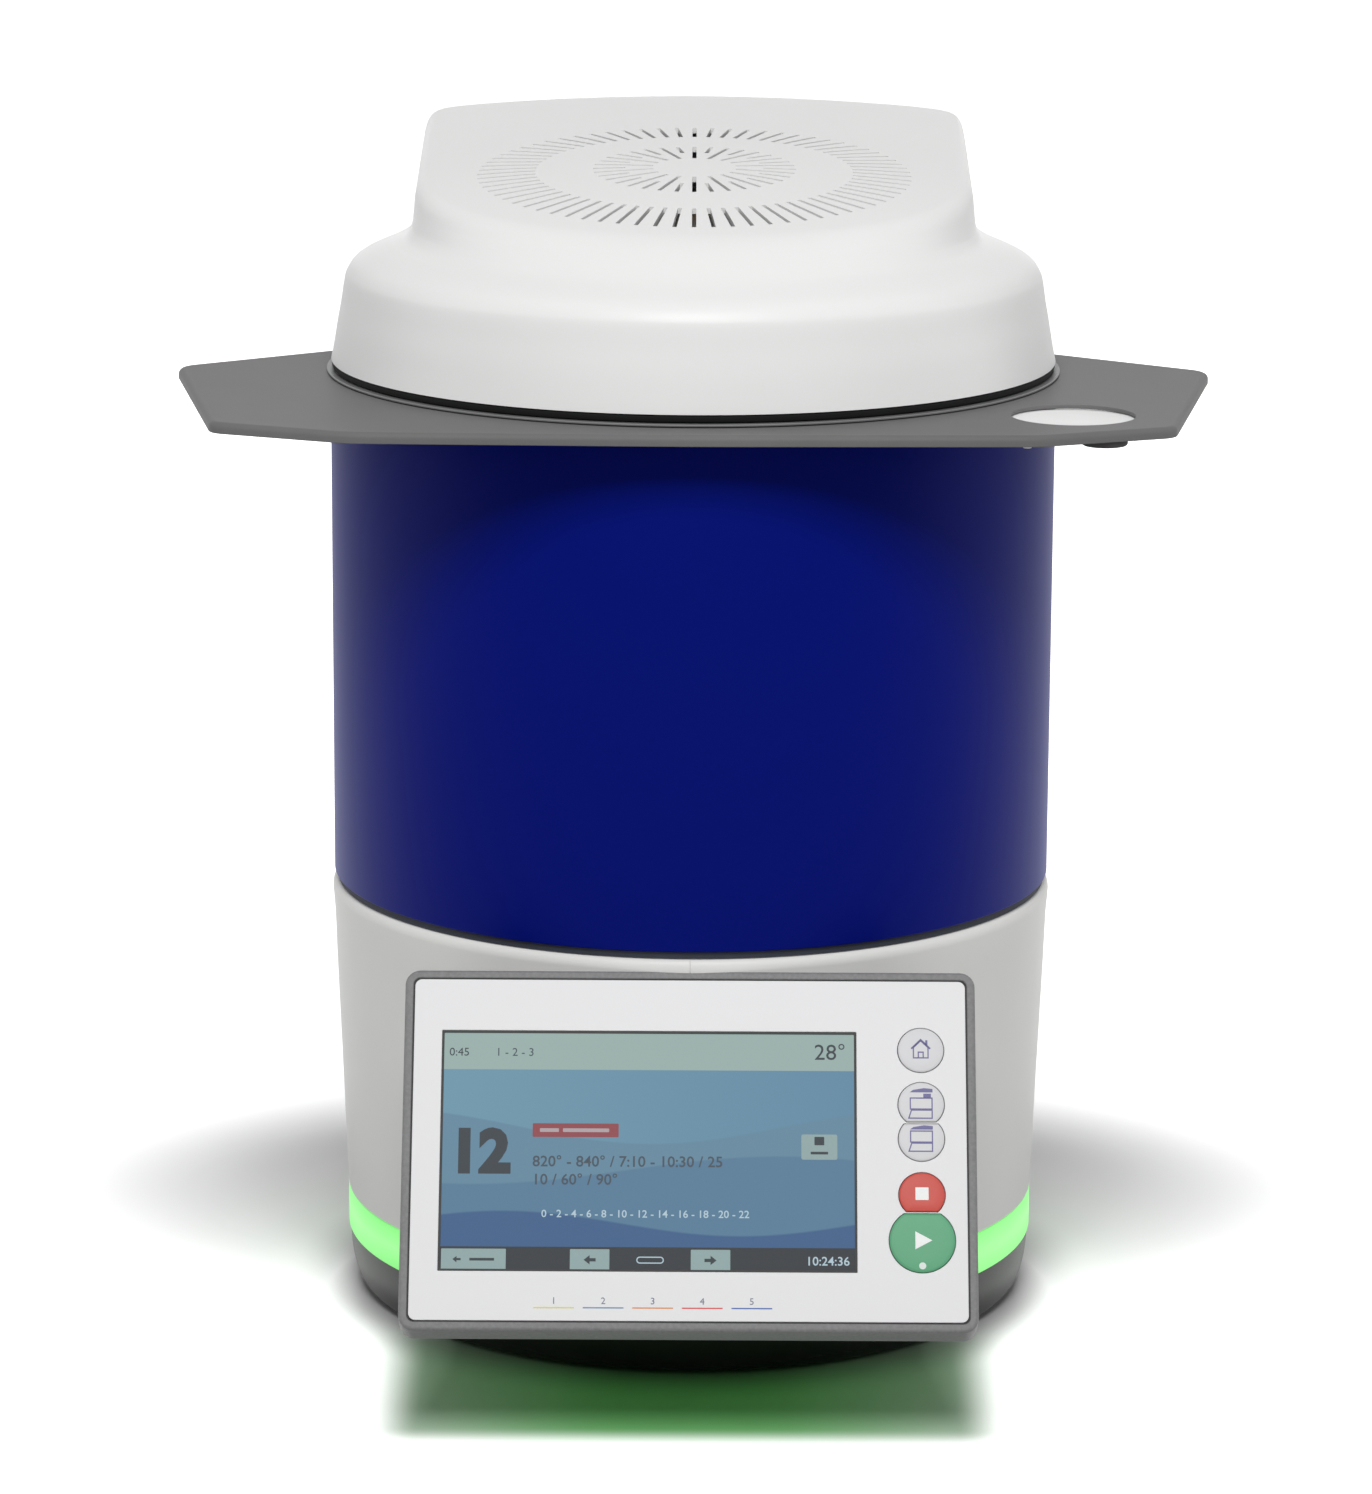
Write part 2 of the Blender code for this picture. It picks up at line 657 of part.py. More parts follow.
switch_at = (0.0400, 0.1300)
switch_half = (0.0150, 0.0110)
switch_body_half = (0.0125, 0.0090)
switch_hole_half = (0.0100, 0.0068)
switch_depth = 0.0120
rocker_tilt = math.radians(12)
rocker_r = 0.0062
rocker_dip = 0.0030
rocker_half_w = switch_hole_half[0] - gap
power_switch = rear_box("switch_frame", switch_at, switch_half, inlet_y, inlet_y + inlet_flange,
                        socket_black)
switch_body = rear_box("switch_body", switch_at, switch_body_half, inlet_y - switch_depth,
                       inlet_y + inlet_flange / 2)
switch_hole = rear_box("switch_hole", switch_at, switch_hole_half, inlet_y - switch_depth + inlet_flange,
                       inlet_y + inlet_flange + overrun)
join(power_switch, switch_body)
cut(power_switch, switch_hole)
switch_room = (switch_body_half[0] + gap, switch_body_half[1] + gap)
switch_window = rear_box("switch_window", switch_at, switch_room, panel_front - overrun,
                         panel_back + overrun)
rocker_steps = 12
rocker_start = math.radians(70)
rocker_sweep = math.radians(320)
rocker_turns = [rocker_start - rocker_sweep * k / rocker_steps for k in range(rocker_steps + 1)]
rocker_plan = [(rocker_dip, 0)] + [(rocker_r * math.sin(a), rocker_r * math.cos(a)) for a in rocker_turns]
rocker_plan = rocker_plan[::-1]
rocker_black = finish("rocker_black", (0.02, 0.02, 0.02), 0.35)
rocker = plate("switch_rocker", [rocker_plan], -rocker_half_w, rocker_half_w, rocker_black,
               at=(switch_at[0], inlet_y, switch_at[1]), turn=(math.pi / 2, rocker_tilt, math.pi / 2))

fuse_r = 0.0065
fuse_body_r = 0.0055
fuse_cap_t = 0.0045
fuse_depth = 0.0180
fuse_x = inlet_at[0] + inlet_half[0] + fuse_r + overrun
turned("fuse_cap", [(0, fuse_cap_t), (fuse_r, fuse_cap_t), (fuse_r, 0), (fuse_body_r, 0),
       (fuse_body_r, -fuse_depth), (0, -fuse_depth)], socket_black, ring=False,
       at=(fuse_x, inlet_y, inlet_at[1]), turn=facing_back, steps=knob_steps)
fuse_hole = rod("fuse_hole", fuse_body_r + gap, -overrun, overrun, (fuse_x, panel_back, inlet_at[1]),
                turn=facing_back, steps=knob_steps)

usb_at = (0.0400, 0.1800)
usb_half = (0.0085, 0.0050)
usb_hole_half = (0.0062, 0.0026)
usb_depth = 0.0140
usb_recess = 0.0110
usb_socket = rear_box("usb_socket", usb_at, usb_half, inlet_y, inlet_y + inlet_flange / 2, guard_steel)
usb_body_half = (usb_half[0] - inlet_flange / 2, usb_half[1] - inlet_flange / 2)
usb_body = rear_box("usb_body", usb_at, usb_body_half, inlet_y - usb_depth, inlet_y + inlet_flange / 4)
usb_hole = rear_box("usb_hole", usb_at, usb_hole_half, inlet_y - usb_recess, inlet_y + overrun)
join(usb_socket, usb_body)
cut(usb_socket, usb_hole)
usb_room = (usb_body_half[0] + gap, usb_body_half[1] + gap)
usb_window = rear_box("usb_window", usb_at, usb_room, panel_front - overrun, panel_back + overrun)

hose_brass = finish("hose_brass", (0.75, 0.6, 0.3), 0.3, 1.0)
hose_at = (-0.0450, 0.2000)
hose_r = 0.0040
hose_bore = 0.0020
hose_nut_r = 0.0080
hose_nut_t = 0.0060
hose_tail = 0.0160
hose_out = rear_y + hose_reach - inlet_y
hose_barbs = 2
hose_barb = 0.0008
barb_pitch = (hose_out - hose_nut_t) / hose_barbs
barbs = []
for i in range(hose_barbs):
    end = hose_out - barb_pitch * i
    barbs += [(hose_r - hose_barb, end), (hose_r, end - barb_pitch + hose_barb),
              (hose_r - hose_barb, end - barb_pitch + hose_barb / 2)]
hose_nut = [(hose_r - hose_barb, hose_nut_t), (hose_nut_r, hose_nut_t), (hose_nut_r, 0), (hose_r, 0)]
hose_bore_line = [(hose_r, -hose_tail), (hose_bore, -hose_tail), (hose_bore, hose_out)]
turned("vacuum_connector", barbs + hose_nut + hose_bore_line, hose_brass,
       at=(hose_at[0], inlet_y, hose_at[1]), turn=facing_back, steps=knob_steps)
hose_hole = rod("hose_hole", hose_r + gap, -overrun, overrun, (hose_at[0], panel_back, hose_at[1]),
                turn=facing_back, steps=knob_steps)
cut(rear_panel, panel_fan_hole, inlet_window, switch_window, usb_window, hose_hole, fuse_hole)

# Lift: motor, coupling and spindle between the guide plates; rods, crosshead and nut move with the head
steel = finish("steel", (0.65, 0.65, 0.66), 0.25, 1.0)
motor_black = finish("motor_black", (0.04, 0.04, 0.04), 0.5)
bronze = finish("bronze", (0.6, 0.42, 0.2), 0.35, 1.0)
plate_grey = finish("plate_grey", (0.5, 0.5, 0.52), 0.4, 0.8)
motor_low = pan_floor_z + gap
motor_top = motor_low + motor_h
shaft_r = 0.0032
shaft_reach = 0.0100
shaft_top = motor_top + shaft_reach
coupling_r = 0.0100
coupling_rise = 0.0020
coupling_low = motor_top + coupling_rise
coupling_h = 0.0260
coupling_top = coupling_low + coupling_h
spindle_space = 0.0015
spindle_low = shaft_top + spindle_space
lift_motor = plate("lift_motor", [rectangle(motor_w / 2, motor_w / 2, (0, lift_y), motor_w / 10)],
                   motor_low, motor_top, motor_black)
motor_shaft = rod("motor_shaft", shaft_r, motor_top - overrun, shaft_top, (0, lift_y), steps=knob_steps)
join(lift_motor, motor_shaft)
spindle_axis = empty("spindle_axis", stand, (0, lift_y, 0))
coupling_step = spindle_low - gap
turned("shaft_coupling", [(coupling_r, coupling_top), (coupling_r, coupling_low),
       (shaft_r + gap, coupling_low), (shaft_r + gap, coupling_step), (spindle_r + gap, coupling_step),
       (spindle_r + gap, coupling_top)], plate_grey, parent=spindle_axis, steps=small_steps)
spindle_top = lower_guide_z + guide_plate_t - gap
rod("lift_spindle", spindle_r, spindle_low, spindle_top, look=steel, parent=spindle_axis)

bearing_r = 0.0110
bush_wall = 0.0040
bush_flange = 0.0015
guide_half_d = 0.0280
for name, z, ball in (("lower", lower_guide_z, True), ("upper", upper_guide_z, False)):
    holes = [rectangle(inner_w - gap, guide_half_d, (0, lift_y)),
             circle(bearing_r + gap, (0, lift_y), small_steps)]
    for x in (-rod_x, rod_x):
        holes.append(circle(rod_r + bush_wall + gap, (x, lift_y), small_steps))
    plate(f"guide_plate_{name}", holes, z, z + guide_plate_t, plate_grey)
    for side, x in (("left", -rod_x), ("right", rod_x)):
        high = z + guide_plate_t + gap
        turned(f"guide_bush_{name}_{side}", [(rod_r + bush_wall * 2, high + bush_flange),
               (rod_r + bush_wall * 2, high), (rod_r + bush_wall, high), (rod_r + bush_wall, z),
               (rod_r + gap, z), (rod_r + gap, high + bush_flange)], bronze, at=(x, lift_y, 0),
               steps=small_steps)
turned("spindle_bearing", ring_profile(spindle_r + gap, bearing_r, lower_guide_z,
       lower_guide_z + guide_plate_t), steel, at=(0, lift_y, 0), steps=small_steps)

crosshead_half_w = 0.0750
crosshead_half_d = 0.0180
rod_end = 0.0060
crosshead = plate("lift_crosshead", [rectangle(crosshead_half_w, crosshead_half_d, (0, lift_y)),
                  circle(spindle_r + gap * 4, (0, lift_y), small_steps),
                  circle(rod_r + gap, (-rod_x, lift_y), small_steps),
                  circle(rod_r + gap, (rod_x, lift_y), small_steps)],
                  crosshead_z, crosshead_z + crosshead_t, plate_grey, parent=head_axis)
for side, x in (("left", -rod_x), ("right", rod_x)):
    rod(f"guide_rod_{side}", rod_r, crosshead_z - rod_end, head_rim_z, (x, lift_y), steel, head_axis)
nut_r = 0.0140
nut_h = 0.0120
nut_low = crosshead_z + crosshead_t + gap
turned("spindle_nut", ring_profile(spindle_r + gap, nut_r, nut_low, nut_low + nut_h), bronze,
       parent=head_axis, at=(0, lift_y, 0), steps=small_steps)
column_dark = finish("column_dark", (0.06, 0.06, 0.065), 0.5, 0.3)
column_plan = rectangle(column_half_w, column_half_d, (0, lift_y), column_corner)
plate("lift_column", [column_plan, inset(column_plan, column_wall)], column_low, head_rim_z, column_dark,
      parent=head_axis)

# Power supply and control board on the pan floor
supply_grey = finish("supply_grey", (0.7, 0.7, 0.7), 0.35, 0.9)
board_green = finish("board_green", (0.02, 0.2, 0.08), 0.5)
supply_low = (-0.0900, -0.0600)
supply_high = (0.0100, 0.0300)
supply_h = 0.0500
supply_z = pan_floor_z + gap
box("power_supply", (*supply_low, supply_z), (*supply_high, supply_z + supply_h), supply_grey)
board_low = (0.0200, -0.0700)
board_high = (0.0950, 0.0500)
board_t = 0.0016
board_z = 0.0300
post_r = 0.0030
post_in = 0.0060
board = box("control_board", (*board_low, board_z), (*board_high, board_z + board_t), board_green)
posts = []
for i, x in enumerate((board_low[0] + post_in, board_high[0] - post_in)):
    for k, y in enumerate((board_low[1] + post_in, board_high[1] - post_in)):
        posts.append(rod(f"board_post_{i}{k}", post_r, pan_floor_z + gap, board_z + board_t / 2, (x, y),
                         steps=knob_steps))
join(board, *posts)

# Console shell between the slab and the lower housing
console_side_step = 0.0080
console_edge_step = 0.00865
console_half_w = slab_w / 2 - console_side_step
console_half_h = slab_h / 2 - console_edge_step
console_wall = 0.0025
console_low = 0.0425
console_in_y = -0.0850


def panel_point(up, depth):
    # A point of the panel's frame at X = 0, as (y, z): up the slope and inwards from the face.
    y = -panel_reach + up * math.sin(panel_tilt) + depth * math.cos(panel_tilt)
    z = panel_height + up * math.cos(panel_tilt) - depth * math.sin(panel_tilt)
    return y, z


def console_side(half_h, start, low):
    reach = (console_in_y + panel_reach - half_h * math.sin(panel_tilt)) / math.cos(panel_tilt)
    return [panel_point(-half_h, start), (-ring_r + housing_wall, low), (console_in_y, low),
            panel_point(half_h, reach), panel_point(half_h, start)]


sideways = (math.pi / 2, 0, math.pi / 2)
console_grey = finish("console_grey", (0.50, 0.50, 0.49), 0.45)
console = plate("panel_console", [console_side(console_half_h, slab_t + gap, console_low)],
                -console_half_w, console_half_w, console_grey, turn=sideways)
console_hollow = plate("console_hollow", [console_side(console_half_h - console_wall, slab_t - overrun,
                       console_low + console_wall)], -console_half_w + console_wall,
                       console_half_w - console_wall, turn=sideways)
housing_form = turned("housing_form", [(0, housing_top), (housing_top_r + gap, housing_top),
                      (housing_top_r + gap, housing_top - housing_edge), (ring_r + gap, housing_low),
                      (ring_r + gap, pan_low), (0, pan_low)], ring=False)
cut(console, console_hollow, housing_form)

# Panel slab: bezel, display, front film with its keys, and the board behind the keys
bezel_grey = finish("bezel_grey", (0.22, 0.22, 0.22), 0.6)
film_white = finish("film_white", (0.85, 0.85, 0.85), 0.3)
display_glass = finish("display_glass", (0.10, 0.22, 0.38), 0.15)
film_half = (slab_w / 2 - slab_rim - gap, slab_h / 2 - slab_rim - gap)
ledge = 0.0025
back_wall = 0.0025
bezel_plan = rectangle(slab_w / 2, slab_h / 2, corner=slab_corner)
bezel = plate("panel_bezel", [bezel_plan], -slab_t, 0, bezel_grey, panel)
film_room = rectangle(film_half[0] + gap, film_half[1] + gap, corner=film_corner + gap)
film_pocket = plate("film_pocket", [film_room], -film_t - gap, overrun, parent=panel)
board_room = rectangle(film_half[0] - ledge, film_half[1] - ledge, corner=film_corner)
board_pocket = plate("board_pocket", [board_room], -slab_t + back_wall, overrun, parent=panel)
bezel_port = rod("bezel_port", cable_hole_r - ledge, -slab_t - overrun, -slab_t + back_wall + overrun,
                 parent=panel)
cut(bezel, film_pocket, board_pocket, bezel_port)

display_half = (display_w / 2, display_h / 2)
window = rectangle(display_half[0] + gap, display_half[1] + gap, display_at)


def key_outline(radius, middle, low, high, grow=0.0):
    # A round key in the key column, cut flat at its lowest or highest value.
    points = []
    for k in range(key_steps):
        turn = math.tau * k / key_steps
        y = min(max(middle + (radius + grow) * math.sin(turn), low - grow), high + grow)
        x = math.sqrt(max((radius + grow) ** 2 - (y - middle) ** 2, 0))
        points.append((key_x + math.copysign(x, math.cos(turn)), y))
    return points


home_r = 0.0084
start_r = 0.0120
key_split = 0.0010
head_split_share = 0.160
run_split_share = -0.364
# Each key: radius, row and the split that cuts it flat, as shares of the film's half height, and colour
key_shares = {
    "key_home": (home_r, 0.587, None, (0.85, 0.85, 0.85)),
    "key_open": (home_r, 0.267, head_split_share, (0.85, 0.85, 0.85)),
    "key_close": (home_r, 0.066, head_split_share, (0.85, 0.85, 0.85)),
    "key_stop": (home_r, -0.261, run_split_share, (0.68, 0.10, 0.08)),
    "key_start": (start_r, -0.525, run_split_share, (0.05, 0.31, 0.14)),
}
holes = [rectangle(*film_half, corner=film_corner), window]
for name, (radius, row_share, split_share, colour) in key_shares.items():
    middle = film_half[1] * row_share
    low, high = middle - radius, middle + radius
    if split_share is not None:
        split = film_half[1] * split_share
        if split < middle:
            low = split + key_split / 2
        else:
            high = split - key_split / 2
    holes.append(key_outline(radius, middle, low, high, gap))
    face = [(x - key_x, y - middle) for x, y in key_outline(radius, middle, low, high)]
    key_look = finish(name + "_face", colour, 0.35)
    plate(name, [face], -key_depth, key_rise, key_look, panel, (key_x, middle, 0))
plate("panel_film", holes, -film_t, 0, film_white, panel)
box("display", (display_at[0] - display_half[0], display_at[1] - display_half[1], -display_t),
    (display_at[0] + display_half[0], display_at[1] + display_half[1], -gap), display_glass, panel)
key_travel = 0.0008
board_top = -key_depth - key_travel - gap
board_x = display_at[0] + display_half[0] + gap
board_space = 0.0012
board_margin = ledge + board_space
box("panel_board", (board_x, -film_half[1] + board_margin, board_top - board_t),
    (film_half[0] - board_margin, film_half[1] - board_margin, board_top), board_green, panel)

# Head cover: rings of points around the axis, from the rim up the skirt and shoulder to the crowned top
cover_white = finish("cover_white", (0.80, 0.80, 0.79), 0.4)


def crown(x, y):
    # Height of the top: sloped to the front, crowned, and lifted again towards the rear.
    return crown_z + crown_slope * y - (x * x + y * y) / (2 * crown_r) + y ** 3 / rear_lift_r ** 2


def block_reach(turn, half_w):
    # Distance from the axis to the U-shaped block: round in front, straight sides, flat rear.
    sine, cosine = math.sin(turn), abs(math.cos(turn))
    if sine <= 0:
        return half_w
    side = (cosine - block_splay * sine) / half_w
    rear = sine / head_rear_y
    power = head_corner_power
    return (max(side, 0) ** power + rear ** power) ** (-1 / power)


def cover_reach(turn, round_r, half_w):
    # The block or the round skirt, whichever reaches further, with the corner between them eased.
    block = block_reach(turn, half_w)
    blend = kink_blend * max(math.sin(turn), 0)
    easing = max(blend - abs(block - round_r), 0) ** 2 / (4 * blend) if blend > 0 else 0
    return max(block, round_r) + easing


def ring_points(level):
    points = []
    for turn in cover_turns:
        reach, height = level(turn)
        points.append((reach * math.cos(turn), reach * math.sin(turn), height))
    return points


rear_corner_turn = math.atan2(head_rear_y, head_rim_half_w)
cover_turns = [math.tau * i / round_steps for i in range(round_steps)]
for shift in (-corner_turn_step, corner_turn_step):
    cover_turns += [rear_corner_turn + shift, math.pi - rear_corner_turn + shift]
cover_turns.sort()
cover_steps = len(cover_turns)


def skirt_level(round_r, height):
    side = (block_base_z - height) / (block_base_z - head_rim_z)
    half_w = block_half_w + (head_rim_half_w - block_half_w) * side
    return lambda turn: (cover_reach(turn, round_r, half_w), height)


def wall_top(turn):
    reach = block_reach(turn, block_half_w)
    top = crown(reach * math.cos(turn), reach * math.sin(turn)) - head_edge
    return reach - block_draft * (top - block_base_z), top


def wall_level(share):
    def level(turn):
        reach, top = wall_top(turn)
        base = block_reach(turn, block_half_w)
        return base + (reach - base) * share, block_base_z + (top - block_base_z) * share
    return level


def edge_level(share):
    def level(turn):
        reach, top = wall_top(turn)
        inner = reach - head_edge
        peak = crown(inner * math.cos(turn), inner * math.sin(turn))
        swing = math.pi / 2 * share
        return reach - head_edge * (1 - math.cos(swing)), top + (peak - top) * math.sin(swing)
    return level


def crown_level(radius):
    return lambda turn: (radius, crown(radius * math.cos(turn), radius * math.sin(turn)))


levels = [skirt_level(head_rim_r + (skirt_top_r - head_rim_r) * s, head_rim_z + skirt_height * s)
          for s in skirt_shares]
shoulder_run = block_half_w - skirt_top_r
levels += [skirt_level(skirt_top_r + shoulder_run * run, skirt_top_z + shoulder_rise * rise)
           for run, rise in shoulder_shares]
levels += [wall_level(s) for s in wall_shares]
levels += [edge_level(s) for s in edge_shares]
levels += [crown_level(r) for r in crown_rings]
points = []
for level in levels:
    points += ring_points(level)
faces = []
for row in range(len(levels) - 1):
    for i in range(cover_steps):
        after = (i + 1) % cover_steps
        a, b = row * cover_steps, (row + 1) * cover_steps
        faces.append((a + i, a + after, b + after, b + i))
points.append((0, 0, crown(0, 0)))
last = (len(levels) - 1) * cover_steps
for i in range(cover_steps):
    faces.append((last + i, last + (i + 1) % cover_steps, len(points) - 1))
cover_mesh = bpy.data.meshes.new("head_cover")
cover_mesh.from_pydata(points, [], faces)
smooth(cover_mesh)
head_cover = add("head_cover", cover_mesh, cover_white, head_axis)
shell = head_cover.modifiers.new("wall", "SOLIDIFY")
shell.thickness = head_wall
shell.offset = -1

vent_boxes = bmesh.new()
vent_low = block_base_z
vent_high = crown_z + head_edge * 3


def vent(turn, start, end):
    middle = Matrix.Translation(((start + end) / 2, 0, (vent_low + vent_high) / 2))
    size = Matrix.Diagonal((end - start, vent_w, vent_high - vent_low, 1))
    place = Matrix.Rotation(turn, 4, "Z") @ middle @ size
    bmesh.ops.create_cube(vent_boxes, size=1, matrix=place)


for i in range(outer_vents):
    vent(math.pi / 2 + math.tau * i / outer_vents, outer_vent_in, outer_vent_out)
for i in range(inner_vents):
    inner_start = inner_vent_mid if i % 2 else inner_vent_in
    vent(math.pi / 2 + math.tau * i / inner_vents, inner_start, inner_vent_out)
vent_mesh = bpy.data.meshes.new("vent_slots")
vent_boxes.to_mesh(vent_mesh)
vent_boxes.free()
vent_slots = add("vent_slots", vent_mesh, None, head_axis)
# The shell's lowest ring lies below the rim, and this cutter trims it flat
rim_trim = box("rim_trim", (-head_rear_y, -head_rear_y, deck_low),
               (head_rear_y, head_rear_y + overrun, head_rim_z), parent=head_axis)
cut(head_cover, rim_trim, vent_slots)

# Head plate, rim gasket, muffle, heat shield and thermocouple
plate_z = head_rim_z + gap
head_plate_t = 0.0020
cover_clear = head_wall + gap * 2
rim_plan = [(x, y) for x, y, z in ring_points(skirt_level(head_rim_r, head_rim_z))]
plate("head_plate", [inset(rim_plan, cover_clear), circle(mouth_r, steps=middle_steps)], plate_z,
      plate_z + head_plate_t, plate_grey, parent=head_axis)
gasket_w = 0.0064
plate("head_gasket", [inset(rim_plan, gap), inset(rim_plan, gasket_w)], gasket_low, head_rim_z - gap,
      seal_black, parent=head_axis)
muffle_low = plate_z + head_plate_t + gap
chamber_top = muffle_low + chamber_h
muffle_top = chamber_top + chamber_roof
tube_r = chamber_r + muffle_tube_wall
probe_r = 0.0015
probe_head_r = 0.0050
probe_reach = 0.0100
probe_low = chamber_top - probe_reach
probe_cap_t = 0.0060
insulation = turned("muffle_insulation", [(0, muffle_top), (muffle_r, muffle_top), (muffle_r, muffle_low),
                    (tube_r + gap, muffle_low), (tube_r + gap, chamber_top), (0, chamber_top)], plug_white,
                    ring=False, parent=head_axis, steps=middle_steps)
turned("heating_muffle", ring_profile(chamber_r, tube_r, muffle_low, chamber_top - gap),
       finish("muffle_quartz", (0.8, 0.78, 0.74), 0.4), parent=head_axis, steps=middle_steps)
shield_low = muffle_top + gap
shield_t = 0.0010
shield_r = muffle_r - gap * 10
probe_seat = shield_low + shield_t + gap
probe_top = probe_seat + probe_cap_t
turned("heat_shield", ring_profile(probe_r + gap, shield_r, shield_low, shield_low + shield_t), cup_steel,
       parent=head_axis, steps=middle_steps)
probe_hole = rod("probe_hole", probe_r + gap, chamber_top - overrun, muffle_top + overrun, parent=head_axis,
                 steps=knob_steps)
cut(insulation, probe_hole)
turned("thermocouple", [(0, probe_top), (probe_head_r, probe_top), (probe_head_r, probe_seat),
       (probe_r, probe_seat), (probe_r, probe_low), (0, probe_low)], bronze, ring=False,
       parent=head_axis, steps=knob_steps)
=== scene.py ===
import math

import bmesh
import bpy
import numpy as np
from mathutils import Matrix, Vector
from mathutils.geometry import tessellate_polygon


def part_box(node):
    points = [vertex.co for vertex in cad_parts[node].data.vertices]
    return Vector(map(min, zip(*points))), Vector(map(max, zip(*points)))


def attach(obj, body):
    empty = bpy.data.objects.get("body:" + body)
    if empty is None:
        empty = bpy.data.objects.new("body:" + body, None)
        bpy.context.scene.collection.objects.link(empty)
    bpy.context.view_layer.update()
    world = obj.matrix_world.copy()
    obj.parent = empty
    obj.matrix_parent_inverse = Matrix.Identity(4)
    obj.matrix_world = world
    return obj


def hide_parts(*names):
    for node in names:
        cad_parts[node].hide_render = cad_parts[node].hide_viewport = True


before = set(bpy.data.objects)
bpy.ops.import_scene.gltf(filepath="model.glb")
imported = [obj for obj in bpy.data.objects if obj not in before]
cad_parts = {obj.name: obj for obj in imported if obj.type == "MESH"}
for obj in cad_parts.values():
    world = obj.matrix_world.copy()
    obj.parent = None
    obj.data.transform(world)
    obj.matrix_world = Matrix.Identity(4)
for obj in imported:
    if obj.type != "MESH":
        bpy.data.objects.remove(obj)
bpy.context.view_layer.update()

# Camera
# The photograph was taken from 2.2 m in front with a long lens, a little above the furnace's head
# and looking down on it. Its focal length is in the photograph's own pixels.
photo_width = 1372
photo_height = 1494
photo_focal = 5742.0
sensor = 36.0
camera_back = 2.200
camera_height = 0.710
camera_pitch = math.radians(12.69)
camera_yaw = math.radians(-0.055)
camera_roll = math.radians(-0.286)
muffle_low, muffle_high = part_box("heating_muffle")
axis_y = (muffle_low[1] + muffle_high[1]) / 2

forward = Vector((math.sin(camera_yaw) * math.cos(camera_pitch), math.cos(camera_yaw) * math.cos(camera_pitch),
                  -math.sin(camera_pitch)))
level = Vector((math.cos(camera_yaw), -math.sin(camera_yaw), 0))
upward = level.cross(forward)
across = level * math.cos(camera_roll) - upward * math.sin(camera_roll)
upright = level * math.sin(camera_roll) + upward * math.cos(camera_roll)
lens = bpy.data.cameras.new("photo_camera")
lens.sensor_width = sensor
lens.lens = photo_focal * sensor / max(photo_width, photo_height)
lens.clip_end = 50
camera = bpy.data.objects.new("photo_camera", lens)
bpy.context.scene.collection.objects.link(camera)
camera.matrix_world = Matrix((
    (across.x, upright.x, -forward.x, 0),
    (across.y, upright.y, -forward.y, axis_y - camera_back),
    (across.z, upright.z, -forward.z, camera_height),
    (0, 0, 0, 1)))
bpy.context.scene.camera = camera

# Floor and studio light
# A white table top that fades into a white background: a painted brightening, seen directly and in mirrors, grows with
# the distance from the furnace and leaves its own shadow round it. Close round the base a painted contact shadow
# darkens the table, and in front of it a painted green pool with painted shadow at its edges stands for the ring's
# green light in the shade under the panel. A large softbox hangs above the camera, and weaker ones stand at both sides
# and behind.
bpy.context.scene.view_settings.view_transform = "Standard"
floor_half = 12.0
floor_white = 0.83
floor_bounce = 0.50
shade_centre_y = axis_y + 0.108
shade_half_x = 0.280
shade_half_y = 0.170
shade_start = 0.60
shade_end = 1.28
# These set a painted contact shadow close round the base, and where the painted brightening starts.
near_start = 0.130
near_end = 0.162
painted_contact_dark = 0.65
# The next values set the painted green pool in front of the base: green at its middle, painted shadow at its edges.
painted_glow_half_w = 0.135
painted_glow_core = 0.020
painted_patch_front_y = (-0.218, -0.190)
painted_patch_back_y = (-0.055, -0.095)
painted_shadow_side = (0.128, 0.099)
painted_glow_green = (0.155, 0.42, 0.15)
painted_shadow_edge = (0.46, 0.54, 0.46)
sky_level = 0.14
aim = Vector((0, 0, 0.22))


def material_with_nodes(name):
    """A new material with its shader and node tree."""
    material = bpy.data.materials.new(name)
    material.use_nodes = True
    tree = material.node_tree
    return material, tree.nodes["Principled BSDF"], tree


def softbox(name, place, width, height, watts):
    """A white rectangular area lamp at a place, turned to face the furnace."""
    lamp = bpy.data.lights.new(name, "AREA")
    lamp.shape = "RECTANGLE"
    lamp.size = width
    lamp.size_y = height
    lamp.energy = watts
    holder = bpy.data.objects.new(name, lamp)
    bpy.context.scene.collection.objects.link(holder)
    holder.location = place
    holder.rotation_euler = (aim - Vector(place)).to_track_quat("-Z", "Y").to_euler()


floor_mesh = bpy.data.meshes.new("floor")
floor_mesh.from_pydata([(-floor_half, -floor_half, 0), (floor_half, -floor_half, 0),
                        (floor_half, floor_half, 0), (-floor_half, floor_half, 0)], [], [(0, 1, 2, 3)])
floor = bpy.data.objects.new("floor", floor_mesh)
bpy.context.scene.collection.objects.link(floor)
floor_look, floor_shader, floor_tree = material_with_nodes("floor_white")
floor_shader.inputs["Roughness"].default_value = 0.45
floor_shader.inputs["Specular IOR Level"].default_value = 0.2
floor_shader.inputs["Emission Color"].default_value = (1, 1, 1, 1)


def math_in(tree):
    """A maker of math nodes in one tree: operation(first, second), each a number or another node's output."""
    def make(operation, first, second=None):
        """One math node's result."""
        node = tree.nodes.new("ShaderNodeMath")
        node.operation = operation
        for socket, value in zip(node.inputs, (first, second)):
            if isinstance(value, (int, float)):
                socket.default_value = value
            elif value is not None:
                tree.links.new(value, socket)
        return node.outputs[0]
    return make


